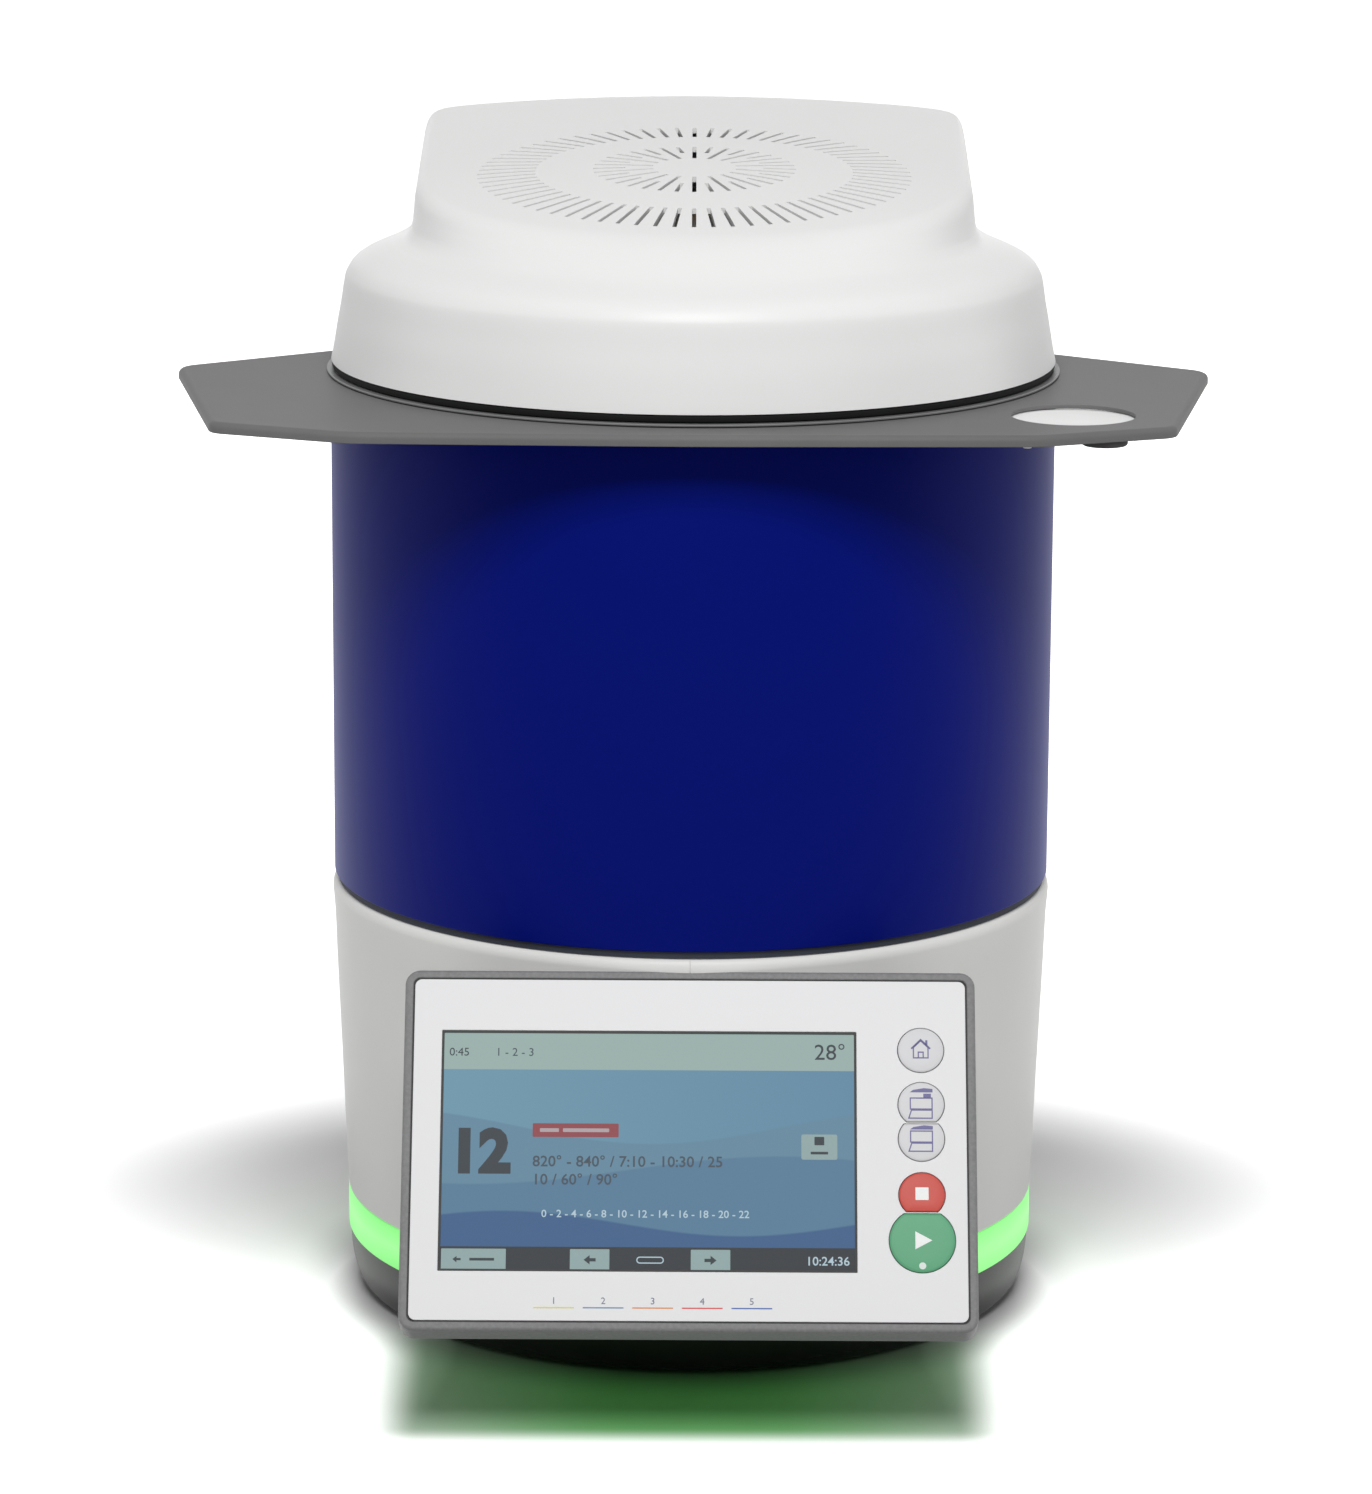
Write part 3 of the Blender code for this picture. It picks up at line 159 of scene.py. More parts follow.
def mix_in(tree):
    """A maker of colour mixes in one tree: first (1 - share) + second share, or first second in a MULTIPLY blend.
    A colour is a triple or a node's output. Such a node takes them at its inputs 6 and 7 and gives output 2."""
    def make(share, first, second, blend="MIX"):
        """One mixed colour."""
        node = tree.nodes.new("ShaderNodeMix")
        node.data_type = "RGBA"
        node.blend_type = blend
        for socket, value in zip((node.inputs["Factor"], node.inputs[6], node.inputs[7]), (share, first, second)):
            if isinstance(value, tuple):
                socket.default_value = (*value, 1)
            elif isinstance(value, float):
                socket.default_value = value
            else:
                tree.links.new(value, socket)
        return node.outputs[2]
    return make


def seen_directly(tree):
    """Share of a ray from the camera, a mirror or glass: the largest of those three outputs of Light Path."""
    seen_by = tree.nodes.new("ShaderNodeLightPath")
    make = math_in(tree)
    by_mirror = make("MAXIMUM", seen_by.outputs["Is Glossy Ray"], seen_by.outputs["Is Transmission Ray"])
    return make("MAXIMUM", seen_by.outputs["Is Camera Ray"], by_mirror)


floor_math = math_in(floor_tree)
floor_mix = mix_in(floor_tree)


def floor_step(value, start, end, low=0.0, high=1.0):
    """A smooth rise from a low to a high level while a value runs from its start to its end."""
    node = floor_tree.nodes.new("ShaderNodeMapRange")
    node.interpolation_type = "SMOOTHSTEP"
    node.inputs["From Min"].default_value = start
    node.inputs["From Max"].default_value = end
    node.inputs["To Min"].default_value = low
    node.inputs["To Max"].default_value = high
    floor_tree.links.new(value, node.inputs["Value"])
    return node.outputs["Result"]


def floor_reach(x, y):
    """Distance from two sides: the root of the sum of their squares."""
    return floor_math("SQRT", floor_math("ADD", floor_math("POWER", x, 2.0), floor_math("POWER", y, 2.0)))


floor_place = floor_tree.nodes.new("ShaderNodeTexCoord")
floor_split = floor_tree.nodes.new("ShaderNodeSeparateXYZ")
floor_tree.links.new(floor_place.outputs["Object"], floor_split.inputs[0])
floor_x, floor_y = floor_split.outputs[0], floor_split.outputs[1]
shade_x = floor_math("DIVIDE", floor_x, shade_half_x)
shade_y = floor_math("DIVIDE", floor_math("SUBTRACT", floor_y, shade_centre_y), shade_half_y)
shade_reach = floor_reach(shade_x, shade_y)
near_reach = floor_reach(floor_x, floor_math("SUBTRACT", floor_y, axis_y))
by_eye = seen_directly(floor_tree)
# Painted green pool and painted shadow in front of the base: a mask tints the table green at its middle and grey-green
# at its edges, and keeps the painted brightening off it.
floor_side = floor_math("ABSOLUTE", floor_x)
painted_front_share = floor_step(floor_y, axis_y + painted_patch_front_y[0], axis_y + painted_patch_front_y[1])
painted_back_share = floor_step(floor_y, axis_y + painted_patch_back_y[0], axis_y + painted_patch_back_y[1])
painted_patch_share = floor_math("MULTIPLY", painted_front_share, painted_back_share)
painted_glow_share = floor_step(floor_side, painted_glow_half_w, painted_glow_core)
painted_shadow_share = floor_math("MULTIPLY", painted_patch_share, floor_step(floor_side, *painted_shadow_side))
lit_share = floor_math("MINIMUM", floor_step(shade_reach, shade_start, shade_end),
                       floor_step(near_reach, near_start, near_end))
fade = floor_math("MULTIPLY", lit_share, floor_math("SUBTRACT", 1.0, painted_shadow_share))
floor_tree.links.new(floor_math("MULTIPLY", fade, by_eye), floor_shader.inputs["Emission Strength"])
painted_glow_tint = floor_mix(painted_glow_share, painted_shadow_edge, painted_glow_green)
painted_table_tint = floor_mix(painted_shadow_share, (floor_white,) * 3, painted_glow_tint)
# Painted contact shadow: the table's colour darkens close round the base.
painted_contact_shade = floor_step(near_reach, near_start, near_end, painted_contact_dark, 1.0)
painted_table_tint = floor_mix(1.0, painted_table_tint, painted_contact_shade, "MULTIPLY")
floor_tree.links.new(floor_mix(by_eye, (floor_bounce,) * 3, painted_table_tint), floor_shader.inputs["Base Color"])
floor_mesh.materials.append(floor_look)

sky = bpy.data.worlds.new("studio")
sky.use_nodes = True
sky_tree = sky.node_tree
sky_shader = sky_tree.nodes["Background"]
sky_shader.inputs["Color"].default_value = (1, 1, 1, 1)
sky_strength = sky_tree.nodes.new("ShaderNodeMix")
sky_strength.inputs["A"].default_value = sky_level
sky_strength.inputs["B"].default_value = 1.0
sky_tree.links.new(seen_directly(sky_tree), sky_strength.inputs["Factor"])
sky_tree.links.new(sky_strength.outputs["Result"], sky_shader.inputs["Strength"])
bpy.context.scene.world = sky
softbox("main_softbox", (0, -1.85, 2.3), 1.2, 0.9, 57)
softbox("left_fill", (-2.0, 0.0, 0.9), 1.2, 1.4, 7)
softbox("right_fill", (2.0, 0.0, 0.9), 1.2, 1.4, 8)
softbox("rear_fill", (0, 2.4, 0.40), 1.4, 0.6, 3)

# Base pan
# A black moulded bowl under the light ring, with a shallow box behind it that carries the rear housing.
# Its surface has the fine grain of textured plastic.
pan_low, pan_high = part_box("base_pan")
ring_low, ring_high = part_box("light_ring")
gap = 0.0003
pan_foot_r = 0.1286
pan_rim_r = 0.1349
pan_rim_z = ring_low[2] - gap
rear_half_w = 0.1100
rear_y = pan_high[1]
rear_front_y = axis_y + 0.0700
rear_corner = 0.0180
pan_wall = 0.0030
pan_rim_w = 0.0060
pan_inner_r = pan_rim_r - 0.0080
pan_floor_r = pan_foot_r - 0.0100
turns_round = 288


def coating(name, colour, shade=0.05, shade_scale=40.0, roughness=(0.40, 0.48), grain=0.00003, grain_scale=1600.0,
            metallic=0.0, coat=0.0, specular=0.5):
    """A finish whose colour drifts by a share over a soft noise, whose roughness follows the same noise,
    and whose surface has a fine grain, as bump."""
    material, shader, tree = material_with_nodes(name)
    place = tree.nodes.new("ShaderNodeTexCoord")
    drift = tree.nodes.new("ShaderNodeTexNoise")
    drift.inputs["Scale"].default_value = shade_scale
    drift.inputs["Detail"].default_value = 4.0
    tree.links.new(place.outputs["Object"], drift.inputs["Vector"])
    tint = tree.nodes.new("ShaderNodeValToRGB")
    tint.color_ramp.elements[0].position = 0.3
    tint.color_ramp.elements[1].position = 0.7
    tint.color_ramp.elements[0].color = (*[c * (1 - shade) for c in colour], 1)
    tint.color_ramp.elements[1].color = (*[min(c * (1 + shade), 1) for c in colour], 1)
    tree.links.new(drift.outputs["Fac"], tint.inputs["Fac"])
    tree.links.new(tint.outputs["Color"], shader.inputs["Base Color"])
    polish = tree.nodes.new("ShaderNodeMapRange")
    polish.inputs["To Min"].default_value = roughness[0]
    polish.inputs["To Max"].default_value = roughness[1]
    tree.links.new(drift.outputs["Fac"], polish.inputs["Value"])
    tree.links.new(polish.outputs["Result"], shader.inputs["Roughness"])
    pits = tree.nodes.new("ShaderNodeTexNoise")
    pits.inputs["Scale"].default_value = grain_scale
    pits.inputs["Detail"].default_value = 2.0
    tree.links.new(place.outputs["Object"], pits.inputs["Vector"])
    bump = tree.nodes.new("ShaderNodeBump")
    bump.inputs["Strength"].default_value = 1.0
    bump.inputs["Distance"].default_value = grain
    tree.links.new(pits.outputs["Fac"], bump.inputs["Height"])
    tree.links.new(bump.outputs["Normal"], shader.inputs["Normal"])
    shader.inputs["Metallic"].default_value = metallic
    shader.inputs["Coat Weight"].default_value = coat
    shader.inputs["Coat Roughness"].default_value = 0.08
    shader.inputs["Specular IOR Level"].default_value = specular
    return material


def make_piece(name, points, faces, look, slot, body="body", stands_for=(), crease=32, closed=True):
    """Points and faces made one object at the origin, with merged doubles, outward faces and smooth shading
    up to the crease angle; it rides on a body and may stand for CAD nodes."""
    mesh = bpy.data.meshes.new(name)
    mesh.from_pydata(np.asarray(points, float).reshape(-1, 3).tolist(), [], [list(map(int, f)) for f in faces])
    work = bmesh.new()
    work.from_mesh(mesh)
    bmesh.ops.remove_doubles(work, verts=work.verts, dist=0.000002)
    if closed:
        bmesh.ops.recalc_face_normals(work, faces=work.faces)
    work.to_mesh(mesh)
    work.free()
    return finish_piece(name, mesh, look, body, stands_for, crease)


def finish_piece(name, mesh, look, body="body", stands_for=(), crease=32):
    """A finished mesh made an object with its material, its body and the nodes it stands for."""
    mesh.shade_smooth()
    mesh.set_sharp_from_angle(angle=math.radians(crease))
    mesh.materials.clear()
    mesh.materials.append(look)
    made = bpy.data.objects.new(name, mesh)
    bpy.context.scene.collection.objects.link(made)
    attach(made, body)
    if stands_for:
        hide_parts(*stands_for)
    return made


def grid_faces(rows, columns, wrap_rows=False, wrap_columns=True):
    """Quads of a grid of rows by columns: each joins a point to the next column and the next row."""
    row = np.arange(rows if wrap_rows else rows - 1)[:, None]
    column = np.arange(columns if wrap_columns else columns - 1)[None, :]
    beside = (column + 1) % columns
    above = (row + 1) % rows
    quads = [row * columns + column, row * columns + beside, above * columns + beside, above * columns + column]
    return np.stack(np.broadcast_arrays(*quads), -1).reshape(-1, 4)


def turned_piece(name, profile, steps, look, slot, centre=(0.0, axis_y), wrap_rows=False, stands_for=()):
    """A piece from a profile of (radius, height) pairs carried round an upright axis: x = r cos t, y = r sin t."""
    profile = np.asarray(profile, float)
    turn = np.linspace(0, math.tau, steps, endpoint=False)
    x = centre[0] + profile[:, :1] * np.cos(turn)
    y = centre[1] + profile[:, :1] * np.sin(turn)
    z = np.broadcast_to(profile[:, 1:2], x.shape)
    faces = grid_faces(len(profile), steps, wrap_rows)
    return make_piece(name, np.stack([x, y, z], -1), faces, look, slot, stands_for=stands_for)


def quarter(centre_r, centre_z, radius_r, radius_z, start, end, steps=6):
    """An elliptic arc of a profile from one angle to another, in degrees from the outward direction."""
    turn = np.radians(np.linspace(start, end, steps + 1))
    return np.stack([centre_r + radius_r * np.cos(turn), centre_z + radius_z * np.sin(turn)], -1)


pan_black = coating("pan_black", (0.012, 0.012, 0.012), 0.10, 60.0, (0.22, 0.28), 0.00002, 1800.0, specular=0.25)
bowl_side = quarter(pan_foot_r, pan_rim_z, pan_rim_r - pan_foot_r, pan_rim_z - pan_low[2], -90, 0, 12)
bowl = np.concatenate([[(0, pan_low[2]), (pan_floor_r, pan_low[2])], bowl_side,
                       [(pan_rim_r - pan_rim_w, pan_rim_z), (pan_inner_r, pan_low[2] + pan_wall),
                        (0, pan_low[2] + pan_wall)]])
turned_piece("pan_bowl", bowl, turns_round, pan_black, "pan_black", stands_for=("base_pan",))


def rounded_outline(corners, steps=8):
    """Corners (x, y, radius) in anticlockwise order, each rounded by an arc that touches both its edges."""
    corners = np.asarray(corners, float)
    path = []
    for (x, y, radius), before, after in zip(corners, np.roll(corners, 1, 0), np.roll(corners, -1, 0)):
        back = np.array([before[0] - x, before[1] - y])
        ahead = np.array([after[0] - x, after[1] - y])
        back /= np.linalg.norm(back)
        ahead /= np.linalg.norm(ahead)
        half = math.acos(np.clip(back @ ahead, -1, 1)) / 2
        if radius == 0 or half > math.pi / 2 - 0.001:
            path.append(np.array([[x, y]]))
            continue
        middle = back + ahead
        middle /= np.linalg.norm(middle)
        centre = np.array([x, y]) + middle * radius / math.sin(half)
        side = math.copysign(1, back[0] * ahead[1] - back[1] * ahead[0])
        facing = math.atan2(-middle[1], -middle[0])
        turn = facing - side * np.linspace(-1, 1, steps + 1) * (math.pi / 2 - half)
        path.append(centre + radius * np.stack([np.cos(turn), np.sin(turn)], -1))
    return np.concatenate(path)


def moved_in(outline, distance):
    """A closed outline moved inwards by a distance, along the mean normal of each point's two edges.
    The points run anticlockwise; a clockwise outline, such as a hole, moves into its material."""
    outline = np.asarray(outline, float)
    step = np.roll(outline, -1, 0) - outline
    step /= np.linalg.norm(step, axis=1)[:, None]
    normal = np.stack([-step[:, 1], step[:, 0]], -1)
    before = np.roll(normal, 1, 0)
    spread = 1 + (normal * before).sum(1)
    return outline + (normal + before) / spread[:, None] * distance


def stacked(outline, levels):
    """Rows of an outline, each moved in by a distance and set at a height."""
    rows = []
    for distance, height in levels:
        row = moved_in(outline, distance)
        rows.append(np.column_stack([row, np.full(len(row), height)]))
    return np.stack(rows)


def closed_stack(outline, levels):
    """A solid from rows of an outline, with its first and last rows filled: its points and its faces."""
    rows = stacked(outline, levels)
    count = rows.shape[1]
    faces = [list(f) for f in grid_faces(len(levels), count)]
    faces.append(list(range(count))[::-1])
    faces.append(list(range((len(levels) - 1) * count, len(levels) * count)))
    return rows.reshape(-1, 3), faces


pan_edge = 0.0030
pan_front_y = rear_front_y - 0.0200
pan_rear_outline = rounded_outline([(-rear_half_w, pan_front_y, 0), (rear_half_w, pan_front_y, 0),
                                    (rear_half_w, rear_y, rear_corner), (-rear_half_w, rear_y, rear_corner)], 14)
bottom_edge = quarter(0, pan_low[2] + pan_edge, -pan_edge, pan_edge, -90, 0, 5) + (pan_edge, 0)
points, faces = closed_stack(pan_rear_outline, [*bottom_edge, (0, pan_high[2])])
make_piece("pan_rear", points, faces, pan_black, "pan_black")

# Feet
# Four round feet of soft black rubber, pressed into the floor of the pan. They lift it a little off the table, so
# that air can pass below, and keep the furnace from sliding.
foot_edge = 0.0006
foot_rubber = coating("foot_rubber", (0.018, 0.018, 0.018), 0.15, 120.0, (0.7, 0.85), 0.00006, 1200.0)
for place in ("front_left", "front_right", "rear_left", "rear_right"):
    low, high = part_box("foot_" + place)
    centre = ((low[0] + high[0]) / 2, (low[1] + high[1]) / 2)
    radius = (high[0] - low[0]) / 2
    foot = [(0, low[2]), *quarter(radius - foot_edge, low[2] + foot_edge, foot_edge, foot_edge, -90, 0, 3),
            (radius, high[2]), (0, high[2])]
    turned_piece("rubber_foot_" + place, foot, 64, foot_rubber, "foot_rubber", centre,
                 stands_for=("foot_" + place,))

# Light ring
# A translucent band all round the body below the housing, lit green from behind by a strip of lamps.
# The lamps show as a faint rise and fall in brightness along it, brightest at the middle of its height.
ring_r = ring_high[0]
cut_half_w = rear_half_w + gap


def turned_open(profile, seams=()):
    """A closed profile carried round the axis from one rear cut to the other. Each point's first and last angle
    are those at which its radius reaches the cut plane: t = acos(half width / r). Extra columns may be given."""
    profile = np.asarray(profile, float)
    share = np.sort(np.concatenate([np.linspace(0, 1, turns_round), seams]))
    radius = profile[:, :1]
    start = np.arccos(cut_half_w / radius)
    turn = math.pi - start + share * (math.pi + 2 * start)
    x = radius * np.cos(turn)
    y = axis_y + radius * np.sin(turn)
    z = np.broadcast_to(profile[:, 1:2], x.shape)
    rows = np.stack([x, y, z], -1)
    count = rows.shape[1]
    faces = [list(f) for f in grid_faces(len(profile), count, wrap_rows=True, wrap_columns=False)]
    faces.append([row * count for row in range(len(profile))])
    faces.append([row * count + count - 1 for row in range(len(profile))])
    return rows, faces


ring_glow, ring_shader, ring_tree = material_with_nodes("ring_glow")
ring_shader.inputs["Base Color"].default_value = (0.05, 0.22, 0.05, 1)
ring_shader.inputs["Roughness"].default_value = 0.35
ring_place = ring_tree.nodes.new("ShaderNodeTexCoord")
ring_split = ring_tree.nodes.new("ShaderNodeSeparateXYZ")
ring_lamps = ring_tree.nodes.new("ShaderNodeTexNoise")
ring_lamps.inputs["Scale"].default_value = 14.0
ring_height = ring_tree.nodes.new("ShaderNodeMapRange")
ring_height.inputs["From Min"].default_value = ring_low[2]
ring_height.inputs["From Max"].default_value = ring_high[2]
ring_height.inputs["To Min"].default_value = -0.5
ring_height.inputs["To Max"].default_value = 0.5
ring_middle = ring_tree.nodes.new("ShaderNodeMath")
ring_middle.operation = "ABSOLUTE"
ring_sum = ring_tree.nodes.new("ShaderNodeMath")
ring_sum.operation = "SUBTRACT"
ring_tint = ring_tree.nodes.new("ShaderNodeValToRGB")
ring_tint.color_ramp.elements[0].color = (0.145, 0.68, 0.12, 1)
ring_tint.color_ramp.elements[1].color = (0.28, 0.86, 0.24, 1)
ring_tint.color_ramp.elements[1].position = 0.55
ring_tree.links.new(ring_place.outputs["Object"], ring_lamps.inputs["Vector"])
ring_tree.links.new(ring_place.outputs["Object"], ring_split.inputs[0])
ring_tree.links.new(ring_split.outputs[2], ring_height.inputs["Value"])
ring_tree.links.new(ring_height.outputs["Result"], ring_middle.inputs[0])
ring_tree.links.new(ring_lamps.outputs["Fac"], ring_sum.inputs[0])
ring_tree.links.new(ring_middle.outputs[0], ring_sum.inputs[1])
ring_tree.links.new(ring_sum.outputs[0], ring_tint.inputs["Fac"])
ring_tree.links.new(ring_tint.outputs["Color"], ring_shader.inputs["Emission Color"])
ring_shader.inputs["Emission Strength"].default_value = 1.0
ring_edge = 0.0006
ring_wall = 0.0042
ring_profile = np.concatenate([
    quarter(ring_r - ring_edge, ring_low[2] + ring_edge, ring_edge, ring_edge, -90, 0, 3),
    quarter(ring_r - ring_edge, ring_high[2] - ring_edge, ring_edge, ring_edge, 0, 90, 3),
    [(ring_r - ring_wall, ring_high[2]), (ring_r - ring_wall, ring_low[2])]])
points, faces = turned_open(ring_profile)
make_piece("glow_ring", points, faces, ring_glow, "ring_green", stands_for=("light_ring",))
strip_white = coating("strip_white", (0.80, 0.84, 0.80), 0.03, 200.0, (0.4, 0.5))

# Lower housing
# A tapered sheet shell in light warm grey, rolled over at its top edge. A dark ring set in the gap between it and the
# blue casing is painted shade of that gap, and a fine seam runs down its front where its two halves meet.
housing_low, housing_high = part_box("lower_housing")
casing_low, casing_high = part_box("body_casing")
casing_r = casing_high[0]
housing_top = 0.1650
housing_foot_r = 0.1356
housing_sides = [(housing_foot_r, housing_low[2]), (0.1392, 0.1270), (0.1395, 0.1350), (0.14005, 0.1510)]
housing_top_r = housing_high[0]
housing_roll = 0.0042
spigot_r = casing_r - 0.0019
seam_half = 0.00025
seam_depth = 0.00035
housing_wall = 0.0030
housing_grey = coating("housing_grey", (0.755, 0.752, 0.735), 0.02, 9.0, (0.36, 0.44), 0.00002, 2200.0,
                       specular=0.2)
rolled_edge = quarter(spigot_r, housing_top - housing_roll, housing_top_r - spigot_r, housing_roll, 0, 90, 10)
housing_profile = np.concatenate([
    housing_sides, rolled_edge, [(spigot_r, housing_high[2]), (spigot_r - housing_wall, housing_high[2]),
                                 (spigot_r - housing_wall, housing_top - housing_roll),
                                 (housing_foot_r - housing_wall, housing_low[2])]])
seam_shares = 0.5 + np.array([-1.0, -0.99, 0.0, 0.99, 1.0]) * seam_half / (math.tau * 0.8 * casing_r)
points, faces = turned_open(housing_profile, seams=seam_shares)
on_seam = np.abs(points[..., 0]) < seam_half * 0.5
outer_rows = np.arange(len(housing_profile))[:, None] < len(housing_sides) + len(rolled_edge)
points[..., 1] += np.where(on_seam & outer_rows & (points[..., 1] < axis_y), seam_depth, 0)
make_piece("housing_shell", points, faces, housing_grey, "housing_grey", stands_for=("lower_housing",))
# A dark ring in the gap under the blue casing: painted shade of that gap.
gap_shade_set_back = 0.0013
gap_shade_black = coating("gap_shade_black", (0.036, 0.040, 0.054), 0.10, 120.0, (0.65, 0.80), 0.00003, 1500.0, specular=0.2)
gap_shade_profile = [(casing_r - gap_shade_set_back, housing_top + gap), (casing_r - gap_shade_set_back, casing_low[2] - gap),
                 (spigot_r + gap / 10, casing_low[2] - gap), (spigot_r + gap / 10, housing_top + gap)]
points, faces = turned_open(gap_shade_profile)
make_piece("painted_gap_shade", points, faces, gap_shade_black, "seal_black")

# Blue casing
# A rolled sheet cylinder with a deep cobalt lacquer, closed at the back by the rear housing. It stands on the
# lower housing's collar, and its top flange, folded inwards, carries the tray and the deck.
casing_blue = coating("casing_blue", (0.0004, 0.0055, 0.172), 0.03, 5.0, (0.40, 0.46), 0.000008, 900.0,
                      specular=0.05)
casing_edge = 0.0006
casing_wall = 0.0016
flange_w = 0.0145
casing_profile = np.concatenate([
    quarter(casing_r - casing_edge, casing_low[2] + casing_edge, casing_edge, casing_edge, -90, 0, 3),
    quarter(casing_r - casing_edge, casing_high[2] - casing_edge, casing_edge, casing_edge, 0, 90, 3),
    [(casing_r - flange_w, casing_high[2]), (casing_r - flange_w, casing_high[2] - casing_wall),
     (casing_r - casing_wall, casing_high[2] - casing_wall), (casing_r - casing_wall, casing_low[2])]])
points, faces = turned_open(casing_profile)
make_piece("blue_casing", points, faces, casing_blue, "casing_blue", stands_for=("body_casing",))

# Cooling tray
# Mid grey powder-coated sheet, its outer edge turned down with a small bend. It lies under the deck's lip, and a white
# ceramic pad lies under the round hole on its right, with a small stud below the edge and a black rubber disc there
# that is painted shade under the pad.
tray_low, tray_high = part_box("cooling_tray")
tray_sheet = 0.0015
tray_cutout_r = 0.1300
tray_end = (0.1138, 0.0628)
tray_side = [(0.1999, -0.0005, 0.0120), (0.1763, -0.1333, 0.0090), (0.1250, -0.1548, 0.0300)]
tray_front = (0.0, -0.1582, 0.9)
tray_inside = 0.0001
tray_hole_at = (0.1402, axis_y - 0.1072)
tray_hole_r = 0.0230
tray_bend = 0.0022
tray_bite = 0.0004
tray_burr = tray_sheet * 0.15
tray_grey = coating("tray_grey", (0.152, 0.150, 0.151), 0.05, 30.0, (0.50, 0.58), 0.00007, 1500.0, specular=0.12)

tray_right = [(x, y + axis_y, r) for x, y, r in tray_side]
tray_left = [(-x, y, r) for x, y, r in tray_right]
tray_outer = rounded_outline([(-tray_end[0], tray_end[1] + axis_y, 0), *tray_left,
                              (tray_front[0], tray_front[1] + axis_y, tray_front[2]), *tray_right[::-1],
                              (tray_end[0], tray_end[1] + axis_y, 0)], 14)
end_turn = math.atan2(tray_end[1], tray_end[0])
arc_turn = np.linspace(end_turn, -math.pi - end_turn, 162)[1:-1]
tray_arc = np.stack([tray_cutout_r * np.cos(arc_turn), axis_y + tray_cutout_r * np.sin(arc_turn)], -1)
tray_outline = np.concatenate([tray_outer, tray_arc])
tray_outline = moved_in(tray_outline, tray_inside)
on_arc = np.arange(len(tray_outline)) >= len(tray_outer)
on_arc[[0, len(tray_outer) - 1]] = True


def filled(loops, height, facing):
    """Triangles that fill the first loop apart from the loops inside it, at one height: points and faces."""
    rings = [[Vector((x, y, 0)) for x, y in loop] for loop in loops]
    flat = np.concatenate(loops)
    points = np.column_stack([flat, np.full(len(flat), height)])
    faces = [list(f) if facing > 0 else list(f)[::-1] for f in tessellate_polygon(rings)]
    return points, faces


def gathered(groups):
    """Several lists of points and faces put into one, with the face numbers moved along."""
    points, faces, count = [], [], 0
    for some_points, some_faces in groups:
        some_points = np.asarray(some_points, float).reshape(-1, 3)
        points.append(some_points)
        faces += [[int(i) + count for i in face] for face in some_faces]
        count += len(some_points)
    return np.concatenate(points), faces


def circle_loop(radius, centre, steps=96, clockwise=False):
    """Points round a circle: x = r cos t, y = r sin t."""
    turn = np.linspace(0, math.tau, steps, endpoint=False)
    turn = -turn if clockwise else turn
    return np.stack([centre[0] + radius * np.cos(turn), centre[1] + radius * np.sin(turn)], -1)


bend = quarter(0, tray_high[2] - tray_bend, -tray_bend, tray_bend, 90, 0, 6) + (tray_bend, 0)
inner_bend = tray_bend - tray_sheet
under = quarter(0, tray_high[2] - tray_bend, -inner_bend, inner_bend, 0, 90, 3) + (tray_bend, 0)
tray_lip_z = np.where(on_arc, tray_high[2] - tray_sheet, tray_low[2])
tray_levels = [(tray_bend + tray_bite, tray_high[2]), *bend, (0, tray_lip_z + tray_burr), (tray_burr, tray_lip_z),
               (tray_sheet, tray_lip_z), *under, (tray_bend + tray_bite, tray_high[2] - tray_sheet)]
tray_rows = np.stack([np.column_stack([moved_in(tray_outline, distance), np.maximum(height, tray_lip_z)])
                      for distance, height in tray_levels])
hole_loop = circle_loop(tray_hole_r, tray_hole_at, clockwise=True)
hole_bite = 0.0003
hole_rows = stacked(hole_loop, [(hole_bite, tray_high[2]), (0, tray_high[2] - hole_bite),
                                (0, tray_high[2] - tray_sheet + hole_bite), (hole_bite, tray_high[2] - tray_sheet)])
inner_outline = moved_in(tray_outline, tray_bend + tray_bite)
inner_hole = moved_in(hole_loop, hole_bite)
points, faces = gathered([
    (tray_rows, grid_faces(len(tray_rows), tray_rows.shape[1])),
    (hole_rows, grid_faces(len(hole_rows), hole_rows.shape[1])),
    filled([inner_outline, inner_hole], tray_high[2], 1),
    filled([inner_outline, inner_hole], tray_high[2] - tray_sheet, -1)])
make_piece("tray_sheet", points, faces, tray_grey, "tray_grey", stands_for=("cooling_tray",), crease=40)
pad_r = 0.0250
pad_t = 0.0015
pad_bite = 0.0003
pad_high = tray_high[2] - tray_sheet - gap
pad_white = coating("pad_white", (0.88, 0.88, 0.875), 0.02, 60.0, (0.55, 0.65), 0.00003, 1400.0)
points, faces = closed_stack(circle_loop(pad_r, tray_hole_at), [(pad_bite, pad_high - pad_t),
                                                                (0, pad_high - pad_t + pad_bite),
                                                                (0, pad_high - pad_bite), (pad_bite, pad_high)])
make_piece("tray_pad", points, faces, pad_white, "table_white")
